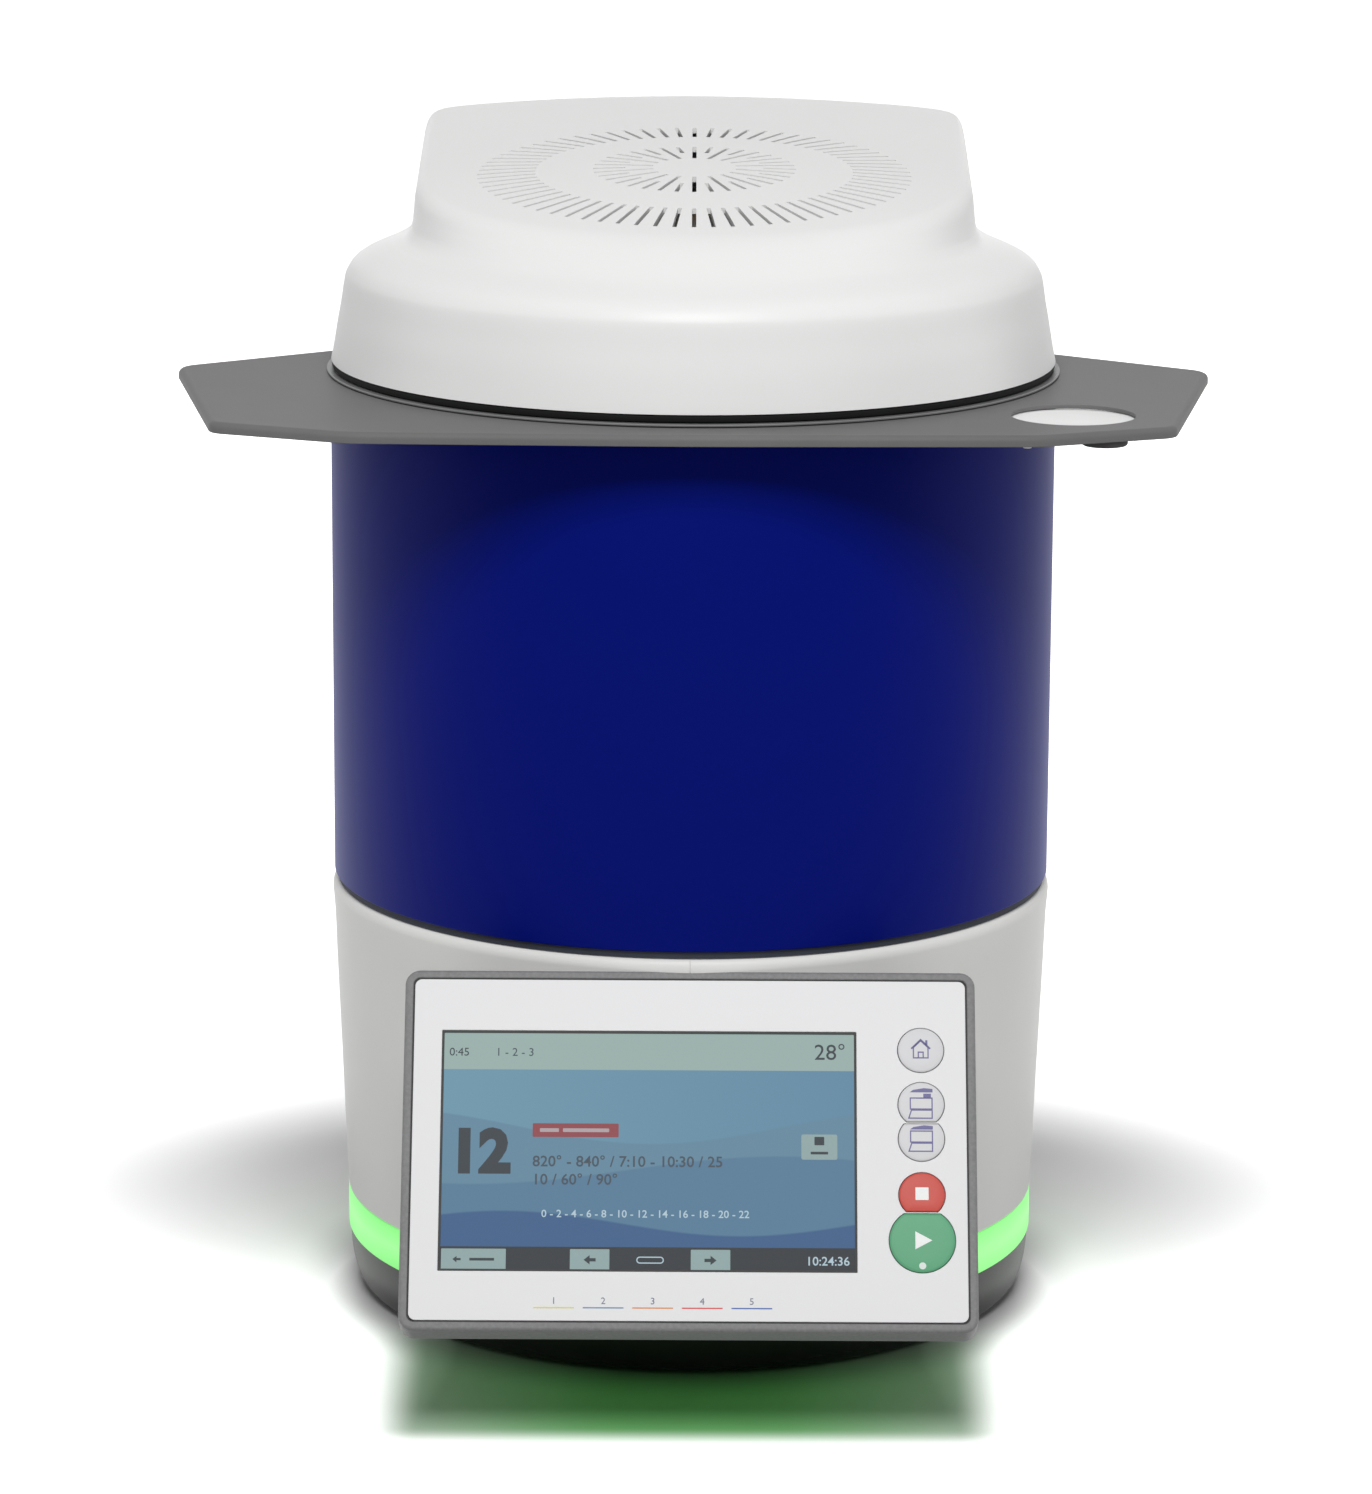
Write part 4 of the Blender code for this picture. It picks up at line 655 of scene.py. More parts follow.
# A black rubber disc below the tray's edge, under the pad: painted shade under it.
shade_disc_at = (0.1500, axis_y - 0.1340)
shade_disc_r = 0.0085
shade_disc_edge = 0.0010
shade_disc_low = 0.3584
shade_disc_high = pad_high - pad_t - gap
shade_disc_profile = [(0, shade_disc_low), *quarter(shade_disc_r - shade_disc_edge, shade_disc_low + shade_disc_edge, shade_disc_edge, shade_disc_edge, -90, 0, 4),
                (shade_disc_r, shade_disc_high), (0, shade_disc_high)]
turned_piece("tray_shade_disc", shade_disc_profile, 64, foot_rubber, "foot_rubber", shade_disc_at)
stud_at = (0.1215, axis_y - 0.1400)
stud_r = 0.0019
stud_edge = 0.0008
stud_low = 0.3582
stud_high = tray_high[2] - tray_sheet
stud_profile = [(0, stud_low), *quarter(stud_r - stud_edge, stud_low + stud_edge, stud_edge, stud_edge, -90, 0, 4),
                (stud_r, stud_high), (0, stud_high)]
turned_piece("tray_stud", stud_profile, 32, pad_white, "table_white", stud_at)

# Deck
# The grey plate that closes the body under the head. Its thin lip lies over the tray and shows as a narrow
# ring round the black gasket, and its rear part lets the lift column through.
deck_low, deck_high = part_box("top_deck")
deck_r = 0.1415
deck_lip = 0.0010
deck_edge = 0.0003
deck_overlap = 0.0002
cup_low, cup_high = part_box("insulation_cup")
cup_r = 0.0640
column_low, column_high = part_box("lift_column")
column_slide = 0.0010
deck_grey = coating("deck_grey", (0.165, 0.165, 0.168), 0.05, 40.0, (0.38, 0.46), 0.00003, 1500.0, metallic=0.2)


def keyhole(radius, half_w, back_y, corner, steps=200):
    """The body's plan: an arc round the front, straight sides back from where it meets them, rounded rear."""
    start = math.acos(half_w / radius)
    turn = np.linspace(math.pi - start, math.tau + start, steps)
    arc = np.stack([radius * np.cos(turn), axis_y + radius * np.sin(turn)], -1)
    back = rounded_outline([(half_w, axis_y, 0), (half_w, back_y, corner), (-half_w, back_y, corner),
                            (-half_w, axis_y, 0)], 14)
    return np.concatenate([arc, back[1:-1]])


def plate(outline, holes, low, high, edge):
    """A flat plate with rounded-off edges: rows round its outline and each hole, and both faces filled."""
    levels = [(edge, low), (0, low + edge), (0, high - edge), (edge, high)]
    groups = []
    for loop in [outline, *holes]:
        rows = stacked(loop, levels)
        groups.append((rows, grid_faces(len(levels), rows.shape[1])))
    loops = [moved_in(loop, edge) for loop in [outline, *holes]]
    return gathered([*groups, filled(loops, low, -1), filled(loops, high, 1)])


column_corner = 0.0080
column_loop = rounded_outline([(column_low[0] - column_slide, column_low[1] - column_slide, column_corner),
                               (column_high[0] + column_slide, column_low[1] - column_slide, column_corner),
                               (column_high[0] + column_slide, column_high[1] + column_slide, column_corner),
                               (column_low[0] - column_slide, column_high[1] + column_slide, column_corner)])[::-1]
cup_loop = circle_loop(cup_r + gap, (0, axis_y), clockwise=True)
lip_low = deck_high[2] - deck_lip
upper = plate(keyhole(deck_r, rear_half_w, rear_y, rear_corner), [cup_loop, column_loop], lip_low, deck_high[2],
              deck_edge)
hub = plate(circle_loop(tray_cutout_r - gap, (0, axis_y), 192), [cup_loop], deck_low[2], lip_low + deck_overlap,
            deck_edge)
deck_front_y = rear_front_y + 0.0060
rear_outline = rounded_outline([(-rear_half_w, deck_front_y, 0), (rear_half_w, deck_front_y, 0),
                                (rear_half_w, rear_y, rear_corner), (-rear_half_w, rear_y, rear_corner)], 14)
lower = plate(rear_outline, [column_loop], deck_low[2], lip_low + deck_overlap, deck_edge)
make_piece("deck_plate", *upper, deck_grey, "deck_grey", stands_for=("top_deck",))
make_piece("deck_hub", *hub, deck_grey, "deck_grey")
make_piece("deck_rear", *lower, deck_grey, "deck_grey")

# Firing table, cup and chamber seal
# The dense white firing table stands on a fibre plug in a bright steel cup, and a black ring round it seals
# the chamber when the head is down.
table_white = coating("table_white", (0.74, 0.71, 0.65), 0.08, 90.0, (0.75, 0.9), 0.00015, 700.0)
cup_steel = coating("cup_steel", (0.50, 0.49, 0.47), 0.06, 60.0, (0.36, 0.46), 0.00001, 1200.0, metallic=1.0)
seal_black = coating("seal_black", (0.006, 0.006, 0.006), 0.15, 90.0, (0.70, 0.80), 0.00003, 1500.0, specular=0.2)
table_low, table_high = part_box("firing_table")
table_r = table_high[0]
table_foot = 0.0010
table_edge = 0.0015
table_dip = 0.0008
table_profile = np.concatenate([
    [(0, table_low[2])],
    quarter(table_r - table_foot, table_low[2] + table_foot, table_foot, table_foot, -90, 0, 4),
    quarter(table_r - table_edge, table_high[2] - table_edge, table_edge, table_edge, 0, 90, 4),
    [(table_r * 0.86, table_high[2]), (table_r * 0.84, table_high[2] - table_dip), (0, table_high[2] - table_dip)]])
turned_piece("table_disc", table_profile, 128, table_white, "table_white", stands_for=("firing_table",))
cup_flange_r = cup_high[0]
cup_wall = 0.0015
cup_flange_t = 0.0010
cup_edge = 0.0002
cup_step = 0.0008
cup_profile = [(cup_r - cup_wall, cup_high[2] - cup_step), (cup_r - cup_wall, cup_low[2]), (cup_r, cup_low[2]),
               (cup_r, cup_high[2] - cup_flange_t), (cup_flange_r, cup_high[2] - cup_flange_t),
               (cup_flange_r, cup_high[2] - cup_edge), (cup_flange_r - cup_edge, cup_high[2]), (cup_r, cup_high[2])]
turned_piece("cup_sheet", cup_profile, 128, cup_steel, "cup_steel", wrap_rows=True, stands_for=("insulation_cup",))
seal_low, seal_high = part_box("chamber_seal")
seal_half_w = 0.0020
seal_half_h = (seal_high[2] - seal_low[2]) / 2
seal_profile = quarter(seal_high[0] - seal_half_w, seal_low[2] + seal_half_h, seal_half_w, seal_half_h, 0, 345, 23)
turned_piece("seal_cord", seal_profile, 160, seal_black, "seal_black", wrap_rows=True, stands_for=("chamber_seal",))

# Head cover
# A thin moulded shell in satin white. A round skirt narrows over a soft shoulder into a block with straight
# sides that runs back over the lift, and its crowned top falls to the front with 72 long and 36 short vent slots.
cover_low, cover_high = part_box("head_cover")
cover_rim_z = cover_low[2]
cover_rear = cover_high[1] - axis_y
skirt_profile = np.array([(0.1398, cover_rim_z), (0.1385, 0.3765), (0.1371, 0.3849), (0.1357, 0.3925), (0.1345, 0.4005),
                          (0.1333, 0.4040), (0.1302, 0.4080), (0.1231, 0.4117), (0.1120, 0.4155), (0.1086, 0.4193)])
block_half_w = 0.1084
block_splay = 0.020
block_draft = 0.092
rim_half_w = 0.1112
block_base_z = 0.4200
cover_wall = 0.0022
cover_edge = 0.0062
edge_room_share = 0.75
ramp_top_r = 0.0900
ramp_handle = 0.0140
shoulder_row = 21
shoulder_fall = math.radians(22)
side_power = 20
corner_ease = 0.030
crown_z = 0.4429
crown_slope = 0.1001
crown_r = 1.0430
rear_lift_r = 1.1090
vent_half_w = 0.0008
outer_vents = 72
outer_vent = (0.0610, 0.0835)
inner_vent = (0.0160, 0.0265, 0.0390)
vent_margin = 0.0045
plain_ring = 0.0500
short_vents_from = 0.0450
middle_rings = (0.0110, 0.0060, 0.0010)
sector = math.tau / outer_vents
plain_half = sector / 8


def crown(x, y):
    """Height of the top: a slope to the front, a crown of large radius, and a cubic lift to the rear."""
    return crown_z + crown_slope * y - (x * x + y * y) / (2 * crown_r) + y ** 3 / rear_lift_r ** 2


def block_reach(turn, half_w):
    """Distance from the axis to the block: constant in front, and behind (side^n + rear^n)^(-1/n)."""
    sine, cosine = np.sin(turn), np.abs(np.cos(turn))
    side = np.maximum(cosine - block_splay * sine, 0) / half_w
    rear = np.maximum(sine, 0) / cover_rear
    blended = (side ** side_power + rear ** side_power) ** (-1 / side_power)
    return np.where(sine <= 0, half_w, blended)


def cover_reach(turn, round_r, half_w):
    """The larger of the round skirt and the block, and in the valley between them a fillet, (e - d)^2 / 4e, where
    their difference d is less than the ease e."""
    block = block_reach(turn, half_w)
    blend = np.maximum(corner_ease * np.sin(turn), 1e-9)
    fill = np.maximum(blend - np.abs(block - round_r), 0) ** 2 / (4 * blend)
    return np.maximum(block, round_r) + fill


def column_turns(even_half, odd_half):
    """Four angles in each of 72 sectors: both sides of its slot and two between it and the next one."""
    centre = -math.pi / 2 + sector * np.arange(outer_vents)
    half = np.where(np.arange(outer_vents) % 2 == 0, even_half, odd_half)
    after = np.roll(half, -1)
    room = (sector - half - after) / 3
    return np.stack([centre - half, centre + half, centre + half + room, centre + half + 2 * room], -1).ravel()


def smooth_profile(points, steps):
    """A Catmull-Rom curve through (radius, height) points, with the same number of steps in each span."""
    ends = np.concatenate([[2 * points[0] - points[1]], points, [2 * points[-1] - points[-2]]])
    share = np.linspace(0, 1, steps, endpoint=False)[:, None]
    spans = [0.5 * (2 * b + (c - a) * share + (2 * a - 5 * b + 4 * c - d) * share ** 2
                    + (3 * b - a - 3 * c + d) * share ** 3)
             for a, b, c, d in zip(ends, ends[1:], ends[2:], ends[3:])]
    return np.concatenate([*spans, points[-1:]])


def cover_row(reach, height, turn):
    """One ring of the cover's points: x = r cos t, y = r sin t, at a height."""
    return np.stack([reach * np.cos(turn), axis_y + reach * np.sin(turn), height + 0 * turn], -1)


plain_turn = column_turns(plain_half, plain_half)
levels = []
for round_r, height in smooth_profile(skirt_profile, 3):
    side_share = (block_base_z - height) / (block_base_z - cover_rim_z)
    half_w = block_half_w + (rim_half_w - block_half_w) * side_share
    levels.append((cover_reach(plain_turn, round_r, half_w), height + 0 * plain_turn))
base_reach = block_reach(plain_turn, block_half_w)
room_up = crown(base_reach * np.cos(plain_turn), base_reach * np.sin(plain_turn)) - block_base_z
wall_top = block_base_z + room_up - np.minimum(cover_edge, room_up * edge_room_share)
wall_reach = base_reach - block_draft * (wall_top - block_base_z)
for share in (0.0, 0.2, 0.4, 0.6, 0.8, 1.0):
    levels.append((base_reach + (wall_reach - base_reach) * share,
                   block_base_z + (wall_top - block_base_z) * share))
top_reach = wall_reach - cover_edge
top_z = crown(top_reach * np.cos(plain_turn), top_reach * np.sin(plain_turn))
for share in np.linspace(0, 1, 9)[1:]:
    swing = math.pi / 2 * share
    levels.append((wall_reach - cover_edge * (1 - math.cos(swing)), wall_top + (top_z - wall_top) * math.sin(swing)))
levels = np.array(levels)


def front_ramp(low, steps):
    """A cubic curve in (reach, height) from the shoulder up to the crown, tangent to both, for every column:
    (1-s)^3 a + 3(1-s)^2 s b + 3(1-s) s^2 c + s^3 d."""
    share = (np.arange(1, steps + 1) / steps)[:, None, None]
    across, along = np.cos(plain_turn), np.sin(plain_turn)
    high = np.stack([ramp_top_r + 0 * plain_turn, crown(ramp_top_r * across, ramp_top_r * along)])
    inner_z = crown((ramp_top_r - gap) * across, (ramp_top_r - gap) * along)
    fall = np.arctan((inner_z - high[1]) / gap)
    low_handle = low + ramp_handle * np.array([[-math.cos(shoulder_fall)], [math.sin(shoulder_fall)]])
    high_handle = high + ramp_handle * np.stack([np.cos(fall), -np.sin(fall)])
    return ((1 - share) ** 3 * low + 3 * (1 - share) ** 2 * share * low_handle
            + 3 * (1 - share) * share ** 2 * high_handle + share ** 3 * high)


ramp_share = np.maximum(-np.sin(plain_turn), 0) ** 2
upper_levels = levels[shoulder_row + 1:]
upper_levels += (front_ramp(levels[shoulder_row], len(upper_levels)) - upper_levels) * ramp_share
cover_rows = [cover_row(reach, height, plain_turn) for reach, height in levels]
top_reach = levels[-1][0]
first_ring = outer_vent[1] + vent_margin
for share in (0.12, 0.3, 0.55, 0.8):
    reach = top_reach + (first_ring - top_reach) * share
    cover_rows.append(cover_row(reach, crown(reach * np.cos(plain_turn), reach * np.sin(plain_turn)), plain_turn))
crown_start = len(cover_rows)
crown_rings = np.concatenate([[first_ring], np.linspace(outer_vent[1], outer_vent[0], 5), [plain_ring],
                              np.linspace(inner_vent[2], inner_vent[1], 4),
                              np.linspace(inner_vent[1], inner_vent[0], 4)[1:], middle_rings])
for radius in crown_rings:
    half = math.asin(vent_half_w / max(radius, inner_vent[0]))
    turn = column_turns(half, half if radius > short_vents_from else plain_half)
    cover_rows.append(cover_row(radius + 0 * turn, crown(radius * np.cos(turn), radius * np.sin(turn)), turn))
cover_rows = np.stack(cover_rows)
columns = cover_rows.shape[1]
quads = grid_faces(len(cover_rows), columns).reshape(len(cover_rows) - 1, columns, 4)
middle_r = np.full(len(quads), 1.0)
middle_r[crown_start:] = (crown_rings[1:] + crown_rings[:-1]) / 2
column = np.arange(columns)
in_slot = (column % 4 == 0)[None, :]
number_of = (column // 4)[None, :]
ring = middle_r[:, None]
outer_slot = in_slot & (ring > outer_vent[0]) & (ring < outer_vent[1])
inner_slot = in_slot & (number_of % 2 == 0) & (ring > inner_vent[1]) & (ring < inner_vent[2])
long_slot = in_slot & (number_of % 4 == 0) & (ring > inner_vent[0]) & (ring < inner_vent[1])
kept = ~(outer_slot | inner_slot | long_slot)
cover_faces = [list(map(int, f)) for f in quads[kept]]
last_row = (len(cover_rows) - 1) * columns
cover_faces.append([last_row + i for i in range(columns)])
cover_white = coating("cover_white", (0.82, 0.82, 0.815), 0.010, 8.0, (0.36, 0.42), 0.000015, 2200.0, specular=0.25)
cover_crease = 50
cover = make_piece("cover_shell", cover_rows, cover_faces, cover_white, "cover_white", "head", ("head_cover",),
                   cover_crease, closed=False)
cover_skin = cover.modifiers.new("wall", "SOLIDIFY")
cover_skin.thickness = cover_wall
cover_skin.offset = -1


def worked_out(thing):
    """The mesh of an object with its modifiers, or its text, worked out."""
    bpy.context.view_layer.update()
    return bpy.data.meshes.new_from_object(thing.evaluated_get(bpy.context.evaluated_depsgraph_get()))


walled_mesh = worked_out(cover)
cover.modifiers.clear()
cover.data = walled_mesh
walled_mesh.shade_smooth()
walled_mesh.set_sharp_from_angle(angle=math.radians(cover_crease))

# Head gasket and head plate
# A black rubber profile is pressed on the rim of the head's base plate, and shows as a dark line between the
# cover and the deck when the head is down.
gasket_low, gasket_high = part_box("head_gasket")
gasket_w = 0.0064
rim_steps = 360
rim_turn = np.linspace(0, math.tau, rim_steps, endpoint=False)
rim_reach = cover_reach(rim_turn, skirt_profile[0][0], rim_half_w)
rim_outline = np.stack([rim_reach * np.cos(rim_turn), axis_y + rim_reach * np.sin(rim_turn)], -1)
gasket_round = 0.0010
gasket_rows = stacked(rim_outline, [
    (gap + gasket_round, gasket_low[2]), (gap + gasket_round * 0.3, gasket_low[2] + gasket_round * 0.3),
    (gap, gasket_low[2] + gasket_round), (gap, gasket_high[2] - gasket_round * 0.5),
    (gap + gasket_round * 0.5, gasket_high[2]), (gasket_w, gasket_high[2]), (gasket_w, gasket_low[2])])
make_piece("rim_gasket", gasket_rows, grid_faces(len(gasket_rows), rim_steps, wrap_rows=True), seal_black,
           "seal_black", "head", ("head_gasket",))
plate_low, plate_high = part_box("head_plate")
mouth_r = 0.0520
mouth_loop = circle_loop(mouth_r, (0, axis_y), clockwise=True)
plate_metal = coating("plate_metal", (0.52, 0.52, 0.53), 0.05, 30.0, (0.34, 0.44), 0.00002, 900.0, metallic=0.8)
points, faces = plate(moved_in(rim_outline, cover_wall + gap * 2), [mouth_loop], plate_low[2], plate_high[2], 0.0002)
make_piece("base_plate", points, faces, plate_metal, "plate_grey", "head", ("head_plate",))

# Panel frame
# A moulded slab of grey textured plastic holds the operating panel and leans back from the front at 33 degrees.
# The film lies in its recess, and a thin black ring sunk in the gap round it is painted shade of that gap. Sizes are in
# the panel's own plane: x to the right, y up the slope and z out of the face.
bezel_low, bezel_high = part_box("panel_bezel")
panel_tilt = math.radians(33)
panel_reach = 0.1778
panel_height = 0.1035
panel_frame = Matrix.Translation((0, axis_y - panel_reach, panel_height)) @ Matrix.Rotation(
    math.pi / 2 - panel_tilt, 4, "X")
slab_w = bezel_high[0] - bezel_low[0]
slab_h = 0.1373
slab_t = 0.0140
slab_corner = 0.0056
slab_edge = 0.0013
slab_rim = 0.0031
film_t = 0.0016


def on_panel(points):
    """Points of the panel's own plane carried to their place in the part."""
    points = np.asarray(points, float).reshape(-1, 3)
    turn = np.array(panel_frame.to_3x3())
    return points @ turn.T + np.array(panel_frame.translation)


def panel_piece(name, shape, look, slot, body="body", stands_for=()):
    """A piece from points and faces in the panel's own plane."""
    points, faces = shape
    return make_piece(name, on_panel(points), faces, look, slot, body, stands_for)


def rounded_box(half_w, half_h, corner, centre=(0.0, 0.0), steps=8):
    """A rounded rectangle's outline, anticlockwise: four straight sides joined by quarter circles."""
    x, y = centre
    return rounded_outline([(x - half_w, y - half_h, corner), (x + half_w, y - half_h, corner),
                            (x + half_w, y + half_h, corner), (x - half_w, y + half_h, corner)], steps)


bezel_grey = coating("bezel_grey", (0.205, 0.205, 0.207), 0.12, 700.0, (0.52, 0.62), 0.00008, 1500.0, specular=0.3)
slab_outline = rounded_box(slab_w / 2, slab_h / 2, slab_corner)
back_edge = quarter(0, -slab_t + slab_edge, -slab_edge, slab_edge, -90, 0, 5) + (slab_edge, 0)
front_edge = quarter(0, -slab_edge, -slab_edge, slab_edge, 0, 90, 6) + (slab_edge, 0)
recess_edge = 0.0003
bezel = closed_stack(slab_outline, [*back_edge, *front_edge, (slab_rim - recess_edge, 0), (slab_rim, -recess_edge),
                                    (slab_rim, -film_t - gap)])
panel_piece("bezel_slab", bezel, bezel_grey, "bezel_grey", stands_for=("panel_bezel",))
# A black ring sunk in the gap round the film: painted shade of that gap.
film_gap_w = 0.0006
film_gap_shade_sunk = 0.0006
groove_shade_black = coating("groove_shade_black", (0.012, 0.012, 0.012), 0.1, 200.0, (0.6, 0.7))
panel_piece("film_gap_shade", plate(moved_in(slab_outline, slab_rim), [moved_in(slab_outline, slab_rim + film_gap_w)[::-1]],
                               -film_t - gap, -film_gap_shade_sunk, 0.0001), groove_shade_black, "bezel_grey")

# Front film
# A white film of printed plastic with rounded corners, glued into the bezel's recess and cut out for the display
# and the five keys. Plain numbers over coloured lines are printed along its lower edge.
film_half = (slab_w / 2 - slab_rim - film_gap_w, slab_h / 2 - slab_rim - film_gap_w)
film_corner = 0.0026
screen_half = (0.0765, 0.0459)
screen_at = (-0.0150, -0.0006)
screen_corner = 0.0003
key_x = 0.0852
home_r = 0.0084
start_r = 0.0120
key_split = 0.0010
panel_half = 0.06525
head_split = 0.160 * panel_half
run_split = -0.364 * panel_half
whole_low, whole_high = -1.0, 1.0
key_rows = {
    "key_home": (home_r, 0.587 * panel_half, whole_low, whole_high),
    "key_open": (home_r, 0.267 * panel_half, head_split + key_split / 2, whole_high),
    "key_close": (home_r, 0.066 * panel_half, whole_low, head_split - key_split / 2),
    "key_stop": (home_r, -0.261 * panel_half, run_split + key_split / 2, whole_high),
    "key_start": (start_r, -0.525 * panel_half, whole_low, run_split - key_split / 2),
}


def key_loop(radius, middle, low, high, grow=0.0, steps=48):
    """A key's outline: a right arc and a left arc of one circle, between a lowest and a highest value."""
    reach = radius + grow
    start = math.asin(max((low - grow - middle) / reach, -1))
    end = math.asin(min((high + grow - middle) / reach, 1))
    turn = np.linspace(start, end, steps + 1)
    x, y = reach * np.cos(turn), middle + reach * np.sin(turn)
    right = np.stack([key_x + x, y], -1)
    left = np.stack([key_x - x, y], -1)[::-1]
    return np.concatenate([right, left[x[::-1] > reach * 0.001]])


film_white = coating("film_white", (0.76, 0.76, 0.765), 0.008, 20.0, (0.26, 0.32), 0.000006, 1500.0, specular=0.1)
film_holes = [rounded_box(*screen_half, screen_corner, screen_at, 2)[::-1]]
for radius, middle, low, high in key_rows.values():
    film_holes.append(key_loop(radius, middle, low, high, gap)[::-1])
film_edge = 0.00012
panel_piece("front_film", plate(rounded_box(*film_half, film_corner), film_holes, -film_t, 0, film_edge), film_white,
            "film_white", stands_for=("panel_film",))
# A black frame round the display's edge, whose black is also painted shade of its recess.
frame_w = 0.0009
frame_low, frame_high, frame_edge = -0.0008, -0.0003, 0.00005
frame_inside = rounded_box(screen_half[0] - frame_w, screen_half[1] - frame_w, screen_corner, screen_at, 2)
panel_piece("screen_frame", plate(rounded_box(*screen_half, screen_corner, screen_at, 2), [frame_inside[::-1]],
                                  frame_low, frame_high, frame_edge), groove_shade_black, "bezel_grey")


def ink(name, colour, glow=0.0, roughness=0.45):
    """Printing ink, or a lit part of the display: a colour with a faint mottle."""
    material, shader, tree = material_with_nodes(name)
    place = tree.nodes.new("ShaderNodeTexCoord")
    mottle = tree.nodes.new("ShaderNodeTexNoise")
    mottle.inputs["Scale"].default_value = 900.0
    tint = tree.nodes.new("ShaderNodeValToRGB")
    tint.color_ramp.elements[0].color = (*[c * 0.96 for c in colour], 1)
    tint.color_ramp.elements[1].color = (*[min(c * 1.04, 1) for c in colour], 1)
    tree.links.new(place.outputs["Object"], mottle.inputs["Vector"])
    tree.links.new(mottle.outputs["Fac"], tint.inputs["Fac"])
    shader.inputs["Specular IOR Level"].default_value = 0.03 if glow else 0.2
    if glow:
        shader.inputs["Base Color"].default_value = (0.01, 0.01, 0.01, 1)
        tree.links.new(tint.outputs["Color"], shader.inputs["Emission Color"])
        shader.inputs["Emission Strength"].default_value = glow
    else:
        tree.links.new(tint.outputs["Color"], shader.inputs["Base Color"])
    shader.inputs["Roughness"].default_value = roughness
    return material


ink_t = 0.00004
figure_share = 0.73


def bar(centre, half, corner=0.0):
    """A thin flat bar of ink: a rounded rectangle from its centre and half sizes, carried up by two thicknesses."""
    outline = rounded_box(*half, max(corner, 0.00001), centre[:2], 4)
    return closed_stack(outline, [(0, centre[2] - ink_t), (0, centre[2] + ink_t)])


def stroke(path, width, height, loop=False):
    """A flat line of one width along a path, as a thin solid. At each point its two sides lie half the width off
    along a + b over 1 + a.b, where a and b are the normals of the two lengths that meet there."""
    path = np.asarray(path, float)
    ahead = np.roll(path, -1, 0) - path
    back = path - np.roll(path, 1, 0)
    if not loop:
        ahead[-1] = back[-1]
        back[0] = ahead[0]
    ahead /= np.linalg.norm(ahead, axis=1)[:, None]
    back /= np.linalg.norm(back, axis=1)[:, None]
    normal = np.stack([-ahead[:, 1] - back[:, 1], ahead[:, 0] + back[:, 0]], -1)
    normal /= 1 + (ahead * back).sum(1)[:, None]
    sides = [path + normal * width / 2, path - normal * width / 2]
    rows = [np.column_stack([side, np.full(len(path), z)]) for side, z in
            ((sides[0], height - ink_t), (sides[1], height - ink_t), (sides[1], height + ink_t),
             (sides[0], height + ink_t))]
    faces = [list(f) for f in grid_faces(4, len(path), wrap_rows=True, wrap_columns=loop)]
    if not loop:
        faces.append([row * len(path) for row in range(4)])
        faces.append([row * len(path) + len(path) - 1 for row in range(4)])
    return np.stack(rows), faces


def number(name, text, height, x, y, z, look, slot, bold=0.0, align="LEFT"):
    """Plain figures set in the panel's plane: a text object of size height / share of a figure in its size, made
    a mesh and then carried to its place."""
    curve = bpy.data.curves.new(name, "FONT")
    curve.body = text
    curve.size = height / figure_share
    curve.extrude = ink_t
    curve.offset = bold
    curve.align_x = align
    curve.resolution_u = 3
    writer = bpy.data.objects.new(name, curve)
    bpy.context.scene.collection.objects.link(writer)
    mesh = worked_out(writer)
    bpy.data.objects.remove(writer)
    mesh.transform(panel_frame @ Matrix.Translation((x, y, z)))
    return finish_piece(name, mesh, look)


legend_y = -0.0588
legend_grey = ink("legend_grey", (0.16, 0.17, 0.24))
legend_colours = ((0.75, 0.62, 0.12), (0.16, 0.26, 0.42), (0.72, 0.25, 0.06), (0.68, 0.06, 0.06), (0.05, 0.12, 0.42))
legend_x = np.array([-0.0490, -0.0310, -0.0130, 0.0050, 0.0230])
for i, (x, colour) in enumerate(zip(legend_x, legend_colours)):
    number(f"legend_number_{i + 1}", str(i + 1), 0.0026, x, legend_y + 0.0001, ink_t, legend_grey, "film_white",
           align="CENTER")
    panel_piece(f"legend_line_{i + 1}", bar((x, legend_y - 0.0013, ink_t), (0.0074, 0.00022)),
                ink(f"legend_ink_{i + 1}", colour), "film_white")

# Display
# A seven inch colour display behind glass, set into the bezel just under the film's cut-out. It is lit and shows
# plain figures, bars and arrow buttons over soft blue waves.
screen_z = -0.0009
screen_glass, screen_shader, screen_tree = material_with_nodes("screen_glass")
screen_shader.inputs["Base Color"].default_value = (0.008, 0.010, 0.014, 1)
screen_shader.inputs["Roughness"].default_value = 0.16
screen_shader.inputs["Specular IOR Level"].default_value = 0.03
screen_shader.inputs["Emission Strength"].default_value = 0.85
screen_math = math_in(screen_tree)
screen_mix = mix_in(screen_tree)
wave_soft = 0.004


def wave_band(height, swing, stretch, shift):
    """Share of the screen below a wave: v under height + swing sin(stretch u + shift), with a soft edge."""
    wave = screen_math("SINE", screen_math("ADD", screen_math("MULTIPLY", screen_u, stretch), shift))
    line = screen_math("ADD", screen_math("MULTIPLY", wave, swing), height)
    soft = screen_tree.nodes.new("ShaderNodeMapRange")
    soft.inputs["From Min"].default_value = -wave_soft
    soft.inputs["From Max"].default_value = wave_soft
    screen_tree.links.new(screen_math("SUBTRACT", line, screen_v), soft.inputs["Value"])
    return soft.outputs["Result"]


